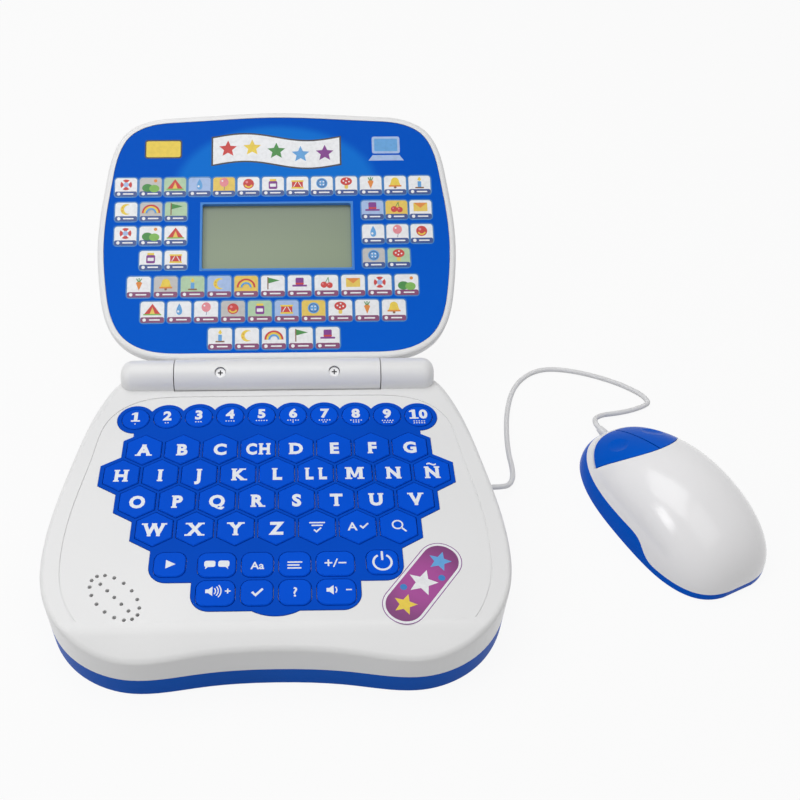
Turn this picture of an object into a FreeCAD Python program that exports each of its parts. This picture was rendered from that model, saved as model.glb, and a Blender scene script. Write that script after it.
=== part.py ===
# A toy laptop computer with a corded mouse: a wide-fronted base with a honeycomb keypad,
# a lid on a barrel hinge with a picture panel and a small LCD, and an egg-shaped mouse.
# Millimetres. +Z is up, +Y runs from the child to the hinge.
# The origin is the middle of the base's underside.
import FreeCAD, Part
import math
import os
from FreeCAD import Vector

# Base, driving dimensions
base_half_width = 102.0
base_back_y = 84.0
base_front_y = -82.0
front_waist = 4.0
back_flat_half = 60.0
base_height = 31.0
bottom_cover_height = 12.0
bottom_cover_draft = 2.0
bottom_cover_inset = 1.0
wall = 2.4
floor_thickness = 2.6
top_thickness = 3.6
top_edge_radius = 5.0
bottom_edge_radius = 1.6
lip_height = 2.0
lip_thickness = 1.2
fit_gap = 0.2
groove_width = 0.7
groove_depth = 0.45
groove_inset = 8.5
groove_back_y = 62.5
groove_front_y = -66.0

# Hinge
hinge_y = 75.0
hinge_z = 32.5
barrel_radius = 8.5
barrel_half_length = 51.5
barrel_end_gap = 0.5
barrel_side_gap = 0.5
hump_end_x = 79.0
hump_end_round = 6.0
trough_wall = 1.8
pin_radius = 2.0
pin_length = 18.0
pin_running_gap = 0.05
hinge_screw_x = 28.5
hinge_screw_sink = 3.6

# Lid
lid_open_angle = 30.0
lid_half_width = 94.2
lid_bottom = 9.0
lid_height = 140.0
lid_flat_half = 50.0
lid_thickness = 11.0
lid_front_thickness = 4.0
lid_front_plate = 2.6
lid_wall = 2.2
lid_front_round = 1.8
lid_back_round = 5.0
panel_inset = 3.3
panel_recess = 1.2
panel_thickness = 0.95
lcd_half_width = 39.3
lcd_low = 58.4
lcd_high = 94.9
lcd_rim = 1.2
lcd_border = 3.0
lcd_thickness = 2.0
board_thickness = 1.6

# Keypad: a hexagon grid, a row of round number keys and two rows of function keys
key_pitch = 18.0
key_web = 1.8
key_gap = 0.3
key_travel = 0.6
key_stand = 0.5
key_chamfer = 0.4
mat_margin = 1.3
mat_thickness = 2.1
mat_proud = 0.3
circuit_thickness = 0.4
first_letter_row_y = 27.0
number_pitch = 15.34
number_row_y = 46.6
number_row_bow = 1.8
number_key_radius = 6.6
number_cell_radius = 9.0
menu_row_y = -39.2
sound_row_y = -53.4
menu_key_depth = 12.6
wide_key_width = 16.4
narrow_key_width = 13.6
inner_column_x = 8.0
middle_column_x = 25.4
outer_column_x = 45.6
menu_corner = 4.0
menu_margin = 2.2
mat_corner = 8.0
mat_chin_radius = 20.5
mat_chin_y = -44.0

# Speaker grille
speaker_x = -67.5
speaker_y = -54.5
speaker_radius = 14.0
speaker_depth = 7.5
grille_long = 13.8
grille_short = 7.3
grille_ring_holes = 16
grille_line_holes = 5
grille_line_step = 4.7
grille_hole_radius = 0.85

# Screws and bosses
screw_radius = 1.3
screw_head_radius = 2.5
screw_head_height = 1.8
head_gap = 0.3
thread_gap = 0.05
boss_radius = 3.6
case_bosses = [(80.0, 44.0), (88.0, -30.0), (40.0, -68.0)]
lid_bosses = [(72.0, 28.0), (72.0, 128.0)]

# Battery bay, for three AA cells, and the boards
cell_radius = 7.2
cell_length = 50.0
cell_pitch = 15.2
cell_count = 3
cell_gap = 0.3
contact_length = 4.0
bay_x = 46.0
bay_y = 10.0
bay_wall = 1.6
door_thickness = 1.4
door_recess = 1.6
door_ledge = 2.0
door_tab = 9.0
board_x = -28.0
board_y = 14.0
board_width = 66.0
board_depth = 46.0
board_z = 14.0
post_radius = 3.0

# Mouse, in its own frame: +Y is its nose
mouse_x = 188.8
mouse_y = 11.5
mouse_yaw = 24.0
mouse_half_length = 51.3
mouse_half_width = 30.3
mouse_height = 34.0
mouse_wall = 2.0
mouse_nose_drop = 0.30
mouse_nose_blunt = 2.4
mouse_tail_blunt = 3.0
mouse_rim = 3.5
mouse_grip = 10.5
mouse_grip_nose = 8.6
button_centre_y = 43.2
button_radius = 28.2
button_gap = 0.4
button_split = 0.7
button_low_z = 13.4
button_drop = 1.3
button_dish = 1.0
dish_radius = 20.0
dish_x = 10.5
dish_y = 31.0
switch_x = 9.0
switch_y = 33.0
switch_top_z = 10.4
switch_gap = 0.9
mouse_board_low = 4.0
mouse_board_half = 13.0
mouse_board_back = 16.5
mouse_board_front = 40.0

# Cord from the base's right side to the mouse's nose
cord_diameter = 2.6
boot_radius = 2.2
boot_tip_radius = 1.8
boot_flange = 1.5
boot_flange_step = 0.6
base_boot_length = 8.0
base_boot_y = 22.0
base_boot_z = 6.6
mouse_boot_length = 4.0
mouse_boot_neck = 5.0
mouse_boot_z = 5.2
cord_lead = 6.0
cord_floor_z = 1.4
cord_route = [
    (115.0, 26.0, 3.4),
    (118.3, 35.0, cord_floor_z),
    (117.5, 52.0, cord_floor_z),
    (121.0, 78.0, cord_floor_z),
    (129.0, 99.0, cord_floor_z),
    (144.0, 110.5, cord_floor_z),
    (163.0, 108.5, cord_floor_z),
    (183.0, 100.0, cord_floor_z),
    (195.5, 90.5, cord_floor_z),
    (198.0, 83.0, cord_floor_z),
    (190.0, 78.3, cord_floor_z),
    (180.0, 75.5, 1.6),
    (170.0, 73.2, 2.8),
]

made = {}


# Outlines: a half outline runs from the end of a straight edge round to the far middle
def base_half_outline():
    depth = base_back_y - base_front_y
    return [
        (back_flat_half, base_back_y),
        (0.775 * base_half_width, base_back_y - 0.045 * depth),
        (0.853 * base_half_width, base_back_y - 0.127 * depth),
        (0.936 * base_half_width, base_back_y - 0.349 * depth),
        (0.982 * base_half_width, base_back_y - 0.524 * depth),
        (base_half_width, base_back_y - 0.687 * depth),
        (0.968 * base_half_width, base_back_y - 0.819 * depth),
        (0.858 * base_half_width, base_back_y - 0.928 * depth),
        (0.620 * base_half_width, base_front_y),
        (0.310 * base_half_width, base_front_y + 0.55 * front_waist),
        (0.0, base_front_y + front_waist),
    ]


def groove_half_outline():
    side = [(x - groove_inset, y) for x, y in base_half_outline()[3:8]]
    return [(0.44 * base_half_width, groove_back_y), (0.69 * base_half_width, groove_back_y - 4.0)] + [
        (0.80 * base_half_width, groove_back_y - 14.0),
        *side,
        (0.0, base_front_y + front_waist + groove_inset),
    ]


def lid_half_outline():
    top = lid_bottom + lid_height
    return [
        (lid_flat_half, lid_bottom),
        (0.772 * lid_half_width, lid_bottom + 0.027 * lid_height),
        (0.876 * lid_half_width, lid_bottom + 0.077 * lid_height),
        (0.938 * lid_half_width, lid_bottom + 0.148 * lid_height),
        (0.978 * lid_half_width, lid_bottom + 0.266 * lid_height),
        (lid_half_width, lid_bottom + 0.445 * lid_height),
        (0.990 * lid_half_width, lid_bottom + 0.580 * lid_height),
        (0.967 * lid_half_width, lid_bottom + 0.700 * lid_height),
        (0.928 * lid_half_width, lid_bottom + 0.836 * lid_height),
        (0.862 * lid_half_width, lid_bottom + 0.916 * lid_height),
        (0.748 * lid_half_width, lid_bottom + 0.963 * lid_height),
        (0.547 * lid_half_width, top - 0.018 * lid_height),
        (0.0, top),
    ]


def smooth_curve(points, start_way, end_way):
    steps = [0.0]
    for a, b in zip(points, points[1:]):
        steps.append(steps[-1] + a.distanceToPoint(b))
    curve = Part.BSplineCurve()
    curve.interpolate(
        Points=points, Parameters=steps, InitialTangent=start_way, FinalTangent=end_way, Scale=False)
    return curve


def outline_wire(half, z, inset=0.0):
    path = half + [(-x, y) for x, y in reversed(half[:-1])]
    inward = 1.0 if half[-1][1] > half[0][1] else -1.0
    last = len(path) - 1
    moved = []
    for i, (x, y) in enumerate(path):
        ahead = path[min(i + 1, last)]
        behind = path[max(i - 1, 0)]
        tx, ty = (1.0, 0.0) if i in (0, last) else (ahead[0] - behind[0], ahead[1] - behind[1])
        length = math.hypot(tx, ty)
        moved.append(Vector(x - inward * inset * ty / length, y + inward * inset * tx / length, z))
    along = Vector(1, 0, 0)
    curve = smooth_curve(moved, along, along)
    return Part.Wire([curve.toShape(), Part.LineSegment(moved[-1], moved[0]).toShape()])


def slab(half, low, high, inset=0.0):
    return Part.Face(outline_wire(half, low, inset)).extrude(Vector(0, 0, high - low))


# Simple solids
def box(x0, x1, y0, y1, z0, z1):
    return Part.makeBox(x1 - x0, y1 - y0, z1 - z0, Vector(x0, y0, z0))


def drum(x, y, z0, z1, radius):
    return Part.makeCylinder(radius, z1 - z0, Vector(x, y, z0))


def roller(x0, x1, y, z, radius):
    return Part.makeCylinder(radius, x1 - x0, Vector(x0, y, z), Vector(1, 0, 0))


def fused(shapes):
    return shapes[0].multiFuse(shapes[1:]).removeSplitter()


def level_edges(shape, z):
    return [e for e in shape.Edges if abs(e.BoundBox.ZMin - z) < 1e-4 and abs(e.BoundBox.ZMax - z) < 1e-4]


def rounded_box(x0, x1, y0, y1, z0, z1, radius):
    block = box(x0, x1, y0, y1, z0, z1)
    return block.makeFillet(radius, [e for e in block.Edges if e.BoundBox.ZLength > 0.9 * (z1 - z0)])


def hexagon(x, y, z0, z1, across):
    corner = across / math.sqrt(3.0)
    points = []
    for i in range(6):
        angle = math.radians(30 + 60 * i)
        points.append(Vector(x + corner * math.cos(angle), y + corner * math.sin(angle), z0))
    return Part.Face(Part.makePolygon(points + points[:1])).extrude(Vector(0, 0, z1 - z0))


def mirrored_places(places):
    return [(side * x, y) for x, y in places for side in (1, -1)]


def screw(x, y, head_z, tip_z):
    up = 1 if tip_z > head_z else -1
    head_top = head_z + up * screw_head_height
    head = drum(x, y, min(head_z, head_top), max(head_z, head_top), screw_head_radius)
    shank = drum(x, y, min(head_z, tip_z), max(head_z, tip_z), screw_radius)
    return head.fuse(shank).removeSplitter()


def keep(name, shape):
    made[name] = shape


# Keypad: every cell of the mat, and the key that stands in it
def letter_rows():
    return [("a_to_g", 8, 0), ("h_to_n", 9, 1), ("o_to_v", 8, 2), ("w_to_z", 4, 3)]


def letter_places(count, row, full_count):
    y = first_letter_row_y - row * key_pitch * math.sqrt(3.0) / 2
    return [((i - (full_count - 1) / 2) * key_pitch, y) for i in range(count)]


def number_places():
    places = []
    for i in range(10):
        x = (i - 4.5) * number_pitch
        places.append((x, number_row_y + number_row_bow * (1 - (x / (5 * number_pitch)) ** 2)))
    return places


def menu_places():
    return [
        ("demo", -outer_column_x, menu_row_y + 0.5, narrow_key_width),
        ("language", -middle_column_x, menu_row_y, wide_key_width),
        ("letters", -inner_column_x, menu_row_y, narrow_key_width),
        ("words", inner_column_x, menu_row_y, narrow_key_width),
        ("ask", middle_column_x, menu_row_y, wide_key_width),
        ("power", outer_column_x, menu_row_y + 0.5, narrow_key_width),
        ("volume_up", -middle_column_x, sound_row_y, wide_key_width),
        ("spelling", -inner_column_x, sound_row_y, narrow_key_width),
        ("question", inner_column_x, sound_row_y, narrow_key_width),
        ("volume_down", middle_column_x, sound_row_y, wide_key_width),
    ]


def last_row_places():
    return letter_places(7, 3, 7)


def all_hexagon_places():
    return letter_places(8, 0, 8) + letter_places(9, 1, 9) + letter_places(8, 2, 8) + last_row_places()


def mat_outline_solid(low, high, grow):
    margin = mat_margin + grow
    pieces = [hexagon(x, y, low, high, key_pitch + 2 * margin) for x, y in all_hexagon_places()]
    pieces += [drum(x, y, low, high, number_cell_radius + grow) for x, y in number_places()]
    number_half = 4.5 * number_pitch
    pieces.append(box(-number_half, number_half, first_letter_row_y, number_row_y, low, high))
    outer = outer_column_x + narrow_key_width / 2 + menu_margin + grow
    middle = middle_column_x + wide_key_width / 2 + menu_margin + grow
    menu_top = last_row_places()[0][1]
    menu_low = menu_row_y - menu_key_depth / 2 - menu_margin - grow
    sound_low = sound_row_y - menu_key_depth / 2 - menu_margin - grow
    pieces.append(rounded_box(-outer, outer, menu_low, menu_top, low, high, mat_corner + grow))
    pieces.append(rounded_box(-middle, middle, sound_low, menu_row_y, low, high, mat_corner + grow))
    pieces.append(drum(0, mat_chin_y, low, high, mat_chin_radius + grow))
    return fused(pieces)


def key_top():
    return base_height + mat_proud + key_stand


def key_low():
    return base_height - mat_thickness + mat_proud + key_travel + 0.1


def chamfered(key):
    return key.makeChamfer(key_chamfer, level_edges(key, key_top()))


def hexagon_key(x, y, grow=0.0):
    return hexagon(x, y, key_low(), key_top(), key_pitch - key_web + 2 * grow)


def number_key(x, y, grow=0.0):
    return drum(x, y, key_low(), key_top(), number_key_radius + grow)


def menu_key(x, y, width, grow=0.0):
    half = width / 2 + grow
    deep = menu_key_depth / 2 + grow
    return rounded_box(x - half, x + half, y - deep, y + deep, key_low(), key_top(), menu_corner + grow)


def word_key_names():
    return ["word_test", "spelling_test", "find_letter"]


def build_keys():
    for name, count, row in letter_rows():
        full = 7 if row == 3 else count
        keep("letter_keys_" + name, Part.makeCompound(
            [chamfered(hexagon_key(x, y)) for x, y in letter_places(count, row, full)]))
    for name, (x, y) in zip(word_key_names(), last_row_places()[4:]):
        keep("key_" + name, chamfered(hexagon_key(x, y)))
    for i, (x, y) in enumerate(number_places()):
        keep("key_number_%d" % (i + 1), chamfered(number_key(x, y)))
    for name, x, y, width in menu_places():
        keep("key_" + name, chamfered(menu_key(x, y, width)))


def build_keypad():
    mat_top = base_height + mat_proud
    mat_low = mat_top - mat_thickness
    mat = mat_outline_solid(mat_low, mat_top, 0.0)
    holes = [hexagon_key(x, y, key_gap) for x, y in all_hexagon_places()]
    holes += [number_key(x, y, key_gap) for x, y in number_places()]
    holes += [menu_key(x, y, width, key_gap) for _, x, y, width in menu_places()]
    through = Vector(0, 0, mat_low - 1.0 - key_low())
    deep = []
    for hole in holes:
        low_copy = hole.copy()
        low_copy.translate(through)
        deep += [hole, low_copy]
    keep("keypad_mat", mat.cut(Part.makeCompound(deep)).removeSplitter())
    circuit = mat_outline_solid(mat_low - circuit_thickness, mat_low, -mat_margin)
    keep("keypad_circuit", circuit)


# Base covers
def grille_places():
    places = []
    slant = math.radians(-45)
    for i in range(grille_ring_holes):
        turn = 2 * math.pi * (i + 0.5) / grille_ring_holes
        places.append((grille_long * math.cos(turn), grille_short * math.sin(turn)))
    for i in range(grille_line_holes):
        places.append(((i - (grille_line_holes - 1) / 2) * grille_line_step, 0.0))
    return [
        (
            speaker_x + u * math.cos(slant) - v * math.sin(slant),
            speaker_y + u * math.sin(slant) + v * math.cos(slant),
        )
        for u, v in places
    ]


def hump(side):
    inner = barrel_half_length + barrel_end_gap
    body = roller(inner, hump_end_x, hinge_y, hinge_z, barrel_radius)
    end = [e for e in body.Edges if e.BoundBox.XMin > hump_end_x - 1e-4]
    body = body.makeFillet(hump_end_round, end)
    return body if side > 0 else body.mirror(Vector(0, 0, 0), Vector(1, 0, 0))


def both_sides(shape):
    return [shape, shape.mirror(Vector(0, 0, 0), Vector(1, 0, 0))]


def pin_roller(radius):
    near = barrel_half_length - pin_length / 2
    return roller(near, near + pin_length, hinge_y, hinge_z, radius)


def base_side_x(y):
    edge = outline_wire(base_half_outline(), 0.0).Edges[0]
    line = Part.makeLine(Vector(0, y, 0), Vector(2 * base_half_width, y, 0))
    return line.distToShape(edge)[1][0][0].x


def build_top_cover():
    outer = slab(base_half_outline(), bottom_cover_height, base_height)
    outer = outer.makeFillet(top_edge_radius, level_edges(outer, base_height))
    ceiling = base_height - top_thickness
    cover = outer.cut(slab(base_half_outline(), bottom_cover_height, ceiling, wall))
    trough_half = barrel_half_length + barrel_end_gap
    trough_radius = barrel_radius + barrel_side_gap
    cradle_half = trough_half + trough_wall
    cradle = roller(-cradle_half, cradle_half, hinge_y, hinge_z, trough_radius + trough_wall)
    cradle = cradle.common(outer)
    bosses = [drum(x, y, bottom_cover_height, ceiling, boss_radius) for x, y in mirrored_places(case_bosses)]
    ring_radius = speaker_radius + fit_gap + wall / 2
    ring = drum(speaker_x, speaker_y, ceiling - speaker_depth / 2, ceiling, ring_radius)
    ring = ring.cut(drum(speaker_x, speaker_y, 0, ceiling, speaker_radius + fit_gap))
    footings = [hump(side).common(outer) for side in (1, -1)]
    cover = fused([cover, cradle, *footings, ring, *bosses])
    notch_low = hinge_z - 6.0
    cuts = [
        roller(-trough_half, trough_half, hinge_y, hinge_z, trough_radius),
        box(-trough_half, trough_half, hinge_y, base_back_y + 1, notch_low, hinge_z + barrel_radius + 1),
        mat_outline_solid(
            base_height + mat_proud - mat_thickness - circuit_thickness, base_height + 1, fit_gap),
        Part.makeCompound([
            drum(x, y, ceiling - 1, base_height + 1, grille_hole_radius) for x, y in grille_places()]),
    ]
    pin_holes = both_sides(pin_roller(pin_radius + pin_running_gap / 2))
    cuts += pin_holes
    for x, y in mirrored_places(case_bosses):
        cuts.append(drum(x, y, bottom_cover_height - 1, ceiling - 2.0, screw_radius + thread_gap))
    groove_low = base_height - groove_depth
    ring = slab(groove_half_outline(), groove_low, base_height + 1)
    ring = ring.cut(slab(groove_half_outline(), groove_low, base_height + 1, groove_width))
    half = base_half_width
    cuts.append(ring.common(box(-half, half, groove_front_y, base_back_y, groove_low, base_height + 1)))
    for cutter in cuts:
        cover = cover.cut(cutter)
    keep("base_top_cover", cover.removeSplitter())
    trough = cuts[0]
    posts = [hump(side).cut(outer).cut(trough).cut(Part.makeCompound(pin_holes)) for side in (1, -1)]
    keep("hinge_posts", Part.makeCompound(posts))


def bay_box(grow, low, high):
    half_x = cell_count * cell_pitch / 2 + grow
    half_y = cell_length / 2 + contact_length + grow
    return box(bay_x - half_x, bay_x + half_x, bay_y - half_y, bay_y + half_y, low, high)


def door_plate(grow, low, high):
    half_x = cell_count * cell_pitch / 2 + door_ledge + grow
    half_y = cell_length / 2 + contact_length + door_ledge + grow
    plate = rounded_box(
        bay_x - half_x, bay_x + half_x, bay_y - half_y, bay_y + half_y, low, high, door_ledge + grow)
    tab = rounded_box(
        bay_x - door_tab / 2 - grow, bay_x + door_tab / 2 + grow,
        bay_y - half_y - door_tab, bay_y - half_y + door_tab, low, high, door_ledge + grow)
    return plate.fuse(tab).removeSplitter()


def door_screw_place():
    return bay_x, bay_y - cell_length / 2 - contact_length - door_ledge - door_tab / 2


def board_posts():
    inset = 5.0
    return [
        (board_x + sx * (board_width / 2 - inset), board_y + sy * (board_depth / 2 - inset))
        for sx in (1, -1) for sy in (1, -1)
    ]


def base_boot_x():
    return base_side_x(base_boot_y) - bottom_cover_inset


def build_bottom_cover():
    half = base_half_outline()
    low = outline_wire(half, 0.0, bottom_cover_inset + bottom_cover_draft)
    high = outline_wire(half, bottom_cover_height, bottom_cover_inset)
    outer = Part.makeLoft([low, high], True, True)
    outer = outer.makeFillet(bottom_edge_radius, level_edges(outer, 0.0))
    inner_inset = bottom_cover_inset + bottom_cover_draft + wall
    tray = outer.cut(slab(half, floor_thickness, bottom_cover_height + 1, inner_inset))
    lip_inset = wall + fit_gap
    lip_low = bottom_cover_height - 3.0
    lip = slab(half, lip_low, bottom_cover_height + lip_height, lip_inset)
    lip = lip.cut(slab(half, lip_low - 1, bottom_cover_height + lip_height + 1, lip_inset + lip_thickness))
    head_floor = floor_thickness + 1.4
    posts = [drum(x, y, 0.5, bottom_cover_height, boss_radius) for x, y in mirrored_places(case_bosses)]
    posts += [drum(x, y, floor_thickness / 2, board_z, post_radius) for x, y in board_posts()]
    door_x, door_y = door_screw_place()
    posts.append(drum(door_x, door_y, floor_thickness / 2, bottom_cover_height, boss_radius))
    bay_top = door_recess + cell_gap + 2 * cell_radius + 1.0
    bay = bay_box(bay_wall, floor_thickness / 2, bay_top + bay_wall)
    tray = fused([tray, lip, bay, *posts])
    cuts = [bay_box(0.0, -1.0, bay_top), door_plate(fit_gap, -1.0, door_recess)]
    for x, y in mirrored_places(case_bosses):
        cuts.append(drum(x, y, -1, head_floor, screw_head_radius + head_gap))
        cuts.append(drum(x, y, -1, bottom_cover_height + 1, screw_radius + head_gap))
    cuts.append(drum(door_x, door_y, -1, bottom_cover_height - 2, screw_radius + thread_gap))
    hole_x = base_boot_x()
    cuts.append(roller(hole_x - 10.0, hole_x + 5.0, base_boot_y, base_boot_z, boot_radius + fit_gap))
    for cutter in cuts:
        tray = tray.cut(cutter)
    keep("base_bottom_cover", tray.removeSplitter())
    top_pilot = base_height - top_thickness - 3.0
    keep("case_screws", Part.makeCompound([
        screw(x, y, head_floor - screw_head_height, top_pilot) for x, y in mirrored_places(case_bosses)]))


def build_battery_bay():
    door_low = door_recess - door_thickness
    door_x, door_y = door_screw_place()
    door = door_plate(0.0, door_low, door_recess)
    door = door.cut(drum(door_x, door_y, -1, door_recess + 1, screw_radius + head_gap))
    keep("battery_door", door)
    head = drum(door_x, door_y, door_low - 0.1, door_low, screw_head_radius)
    shank = drum(door_x, door_y, door_low, bottom_cover_height - 3, screw_radius)
    keep("battery_door_screw", head.fuse(shank).removeSplitter())
    cells = []
    contacts = []
    middle_z = door_recess + cell_gap + cell_radius
    for i in range(cell_count):
        x = bay_x + (i - (cell_count - 1) / 2) * cell_pitch
        way = 1 if i % 2 else -1
        along = Vector(0, way, 0)
        foot = Vector(x, bay_y - way * cell_length / 2, middle_z)
        can_length = cell_length - 1.5
        body = Part.makeCylinder(cell_radius, can_length, foot, along)
        nub = Part.makeCylinder(2.7, 1.5, foot + along * can_length, along)
        cells.append(body.fuse(nub).removeSplitter())
        for end in (1, -1):
            seat_y = bay_y + end * (cell_length / 2 + contact_length)
            tall = cell_radius - 1.0
            plate = box(x - tall, x + tall, min(seat_y, seat_y - end * 0.4), max(seat_y, seat_y - end * 0.4),
                        middle_z - tall, middle_z + tall)
            reach = contact_length - 0.1
            spring = Part.makeCone(4.0, 2.2, reach, Vector(x, seat_y, middle_z), Vector(0, -end, 0))
            contacts.append(plate.fuse(spring).removeSplitter())
    keep("battery_cells", Part.makeCompound(cells))
    keep("battery_contacts", Part.makeCompound(contacts))


def build_base_inside():
    half_x = board_width / 2
    half_y = board_depth / 2
    board = box(board_x - half_x, board_x + half_x, board_y - half_y, board_y + half_y, board_z,
                board_z + board_thickness)
    chip_z = board_z + board_thickness
    chip = drum(board_x, board_y, chip_z - 0.5, chip_z + 1.5, 8.0)
    socket_y = board_y + half_y - 3
    socket = box(board_x - 20, board_x - 4, socket_y - 5, socket_y, chip_z - 0.5, chip_z + 4.0)
    keep("main_board", fused([board, chip, socket]))
    ceiling = base_height - top_thickness
    basket = Part.makeCone(speaker_radius * 0.55, speaker_radius, speaker_depth - 2.0,
                           Vector(speaker_x, speaker_y, ceiling - speaker_depth))
    rim = drum(speaker_x, speaker_y, ceiling - 2.0, ceiling, speaker_radius)
    dish_low = Vector(speaker_x, speaker_y, ceiling - 3.0)
    dish = Part.makeCone(speaker_radius * 0.3, speaker_radius - 1.5, 3.0, dish_low)
    magnet_top = ceiling - speaker_depth
    magnet = drum(speaker_x, speaker_y, magnet_top - 3.0, magnet_top, speaker_radius * 0.5)
    keep("speaker", fused([basket, rim, magnet]).cut(dish).removeSplitter())
    keep("hinge_pins", Part.makeCompound(both_sides(pin_roller(pin_radius))))


# Lid, built flat with its face up and its hinge axis on X, then turned to its open place
def lid_place(shape):
    placed = shape.copy()
    placed.rotate(Vector(0, 0, 0), Vector(1, 0, 0), lid_open_angle)
    placed.translate(Vector(0, hinge_y, hinge_z))
    return placed


def lcd_window(grow, low, high):
    half = lcd_half_width + grow
    return rounded_box(-half, half, lcd_low - grow, lcd_high + grow, low, high, 1.0 + grow)


def half_barrel(side):
    body = roller(-barrel_half_length, barrel_half_length, 0, 0, barrel_radius)
    long = barrel_half_length + 1
    low, high = (0, barrel_radius + 1) if side > 0 else (-barrel_radius - 1, 0)
    return body.common(box(-long, long, -barrel_radius - 1, barrel_radius + 1, low, high))


def pin_bores():
    near = barrel_half_length - pin_length / 2
    bores = []
    for side in (1, -1):
        low = near - 0.3 if side > 0 else -near - pin_length
        bores.append(roller(low, low + pin_length + 0.3, 0, 0, pin_radius + pin_running_gap))
    return Part.makeCompound(bores)


def build_lid():
    half = lid_half_outline()
    frame = slab(half, -lid_front_thickness, 0.0)
    frame = frame.makeFillet(lid_front_round, level_edges(frame, 0.0))
    frame = frame.cut(slab(half, -lid_front_thickness - 1, -lid_front_plate, lid_wall))
    neck_top = lid_bottom + lid_front_round
    neck = box(-barrel_half_length, barrel_half_length, 0, lid_bottom, -barrel_radius, 0)
    root = box(-lid_flat_half, lid_flat_half, lid_bottom - 1, neck_top,
               -lid_front_thickness, -lid_front_plate / 2)
    places = mirrored_places(lid_bosses)
    bosses = [drum(x, w, -lid_front_thickness, -lid_front_plate, boss_radius) for x, w in places]
    frame = fused([frame, half_barrel(-1), neck, root, *bosses])
    cuts = [
        slab(half, -panel_recess, 1.0, panel_inset),
        lcd_window(lcd_rim, -lid_front_thickness - 1, 1.0),
        pin_bores(),
    ]
    for x in (hinge_screw_x, -hinge_screw_x):
        cuts.append(drum(x, 0, -barrel_radius + 2.0, 1.0, screw_radius + thread_gap))
    for x, w in mirrored_places(lid_bosses):
        cuts.append(drum(x, w, -lid_front_thickness - 1, -panel_recess - 0.6, screw_radius + thread_gap))
    for cutter in cuts:
        frame = frame.cut(cutter)
    keep("lid_front_frame", lid_place(frame.removeSplitter()))

    cap = half_barrel(1)
    seat = barrel_radius - hinge_screw_sink
    cap = cap.cut(pin_bores())
    screws = []
    for x in (hinge_screw_x, -hinge_screw_x):
        cap = cap.cut(drum(x, 0, seat, barrel_radius + 1, screw_head_radius + head_gap))
        cap = cap.cut(drum(x, 0, -1, seat + 1, screw_radius + head_gap))
        screws.append(screw(x, 0, seat + screw_head_height, -barrel_radius + 3.0))
    keep("hinge_cover", lid_place(cap.removeSplitter()))
    keep("hinge_cover_screws", lid_place(Part.makeCompound(screws)))

    back_low = -lid_thickness
    back = slab(half, back_low, -lid_front_thickness)
    back = back.makeFillet(lid_back_round, level_edges(back, back_low))
    back = back.cut(slab(half, back_low + lid_wall, -lid_front_thickness + 1, lid_wall))
    head_floor = back_low + lid_wall + 0.6
    posts = [drum(x, w, back_low + 1, -lid_front_thickness, boss_radius) for x, w in places]
    back = fused([back, *posts])
    lid_screws = []
    for x, w in places:
        back = back.cut(drum(x, w, back_low - 1, head_floor, screw_head_radius + head_gap))
        back = back.cut(drum(x, w, back_low - 1, 0, screw_radius + head_gap))
        lid_screws.append(screw(x, w, head_floor - screw_head_height, -panel_recess - 0.9))
    keep("lid_back_cover", lid_place(back.removeSplitter()))
    keep("lid_screws", lid_place(Part.makeCompound(lid_screws)))

    panel_top = -panel_recess + panel_thickness
    panel = slab(half, -panel_recess, panel_top, panel_inset + fit_gap)
    rim = lcd_window(lcd_rim - fit_gap, -lid_front_plate, 0.0)
    rim = rim.makeChamfer(0.25, level_edges(rim, 0.0))
    panel = panel.fuse(rim).removeSplitter().cut(lcd_window(0.0, -lid_front_plate - 1, 1.0))
    keep("picture_panel", lid_place(panel.removeSplitter()))
    glass_top = -lid_front_plate
    glass = lcd_window(lcd_border, glass_top - lcd_thickness, glass_top)
    keep("lcd_panel", lid_place(glass))
    board_top = glass_top - lcd_thickness
    board = lcd_window(lcd_border + 2.0, board_top - board_thickness, board_top)
    blob_top = board_top - board_thickness + 0.5
    blob = drum(0, (lcd_low + lcd_high) / 2, blob_top - 1.7, blob_top, 7.0)
    keep("lcd_board", lid_place(board.fuse(blob).removeSplitter()))


# Mouse
def mouse_place(shape):
    placed = shape.copy()
    placed.rotate(Vector(0, 0, 0), Vector(0, 0, 1), mouse_yaw)
    placed.translate(Vector(mouse_x, mouse_y, 0))
    return placed


def mouse_section(share, inset, low):
    y = share * (mouse_half_length - inset)
    blunt = mouse_nose_blunt if share > 0 else mouse_tail_blunt
    fall = (1 - abs(share) ** blunt) ** (1 / blunt)
    rise = (1 - abs(share) ** 2.2) ** (1 / 2.2)
    ahead = max(share, 0.0)
    half = (mouse_half_width - inset) * fall
    tall = (mouse_height - inset) * rise * (1 - mouse_nose_drop * ahead)
    points = []
    for i in range(9):
        turn = math.pi * i / 8
        cos, sin = math.cos(turn), math.sin(turn)
        squared = math.copysign(abs(cos) ** 0.9, cos) if abs(cos) > 1e-9 else 0.0
        points.append(Vector(half * squared, y, low + (tall - low) * max(sin, 0.0) ** 0.9))
    arch = smooth_curve(points, Vector(0, 0, 1), Vector(0, 0, -1))
    return Part.Wire([arch.toShape(), Part.LineSegment(points[-1], points[0]).toShape()])


def mouse_body(inset, low):
    shares = [-0.994, -0.97, -0.9, -0.74, -0.48, -0.15, 0.2, 0.5, 0.74, 0.9, 0.97, 0.994]
    return Part.makeLoft([mouse_section(s, inset, low) for s in shares], True, False)


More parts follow.
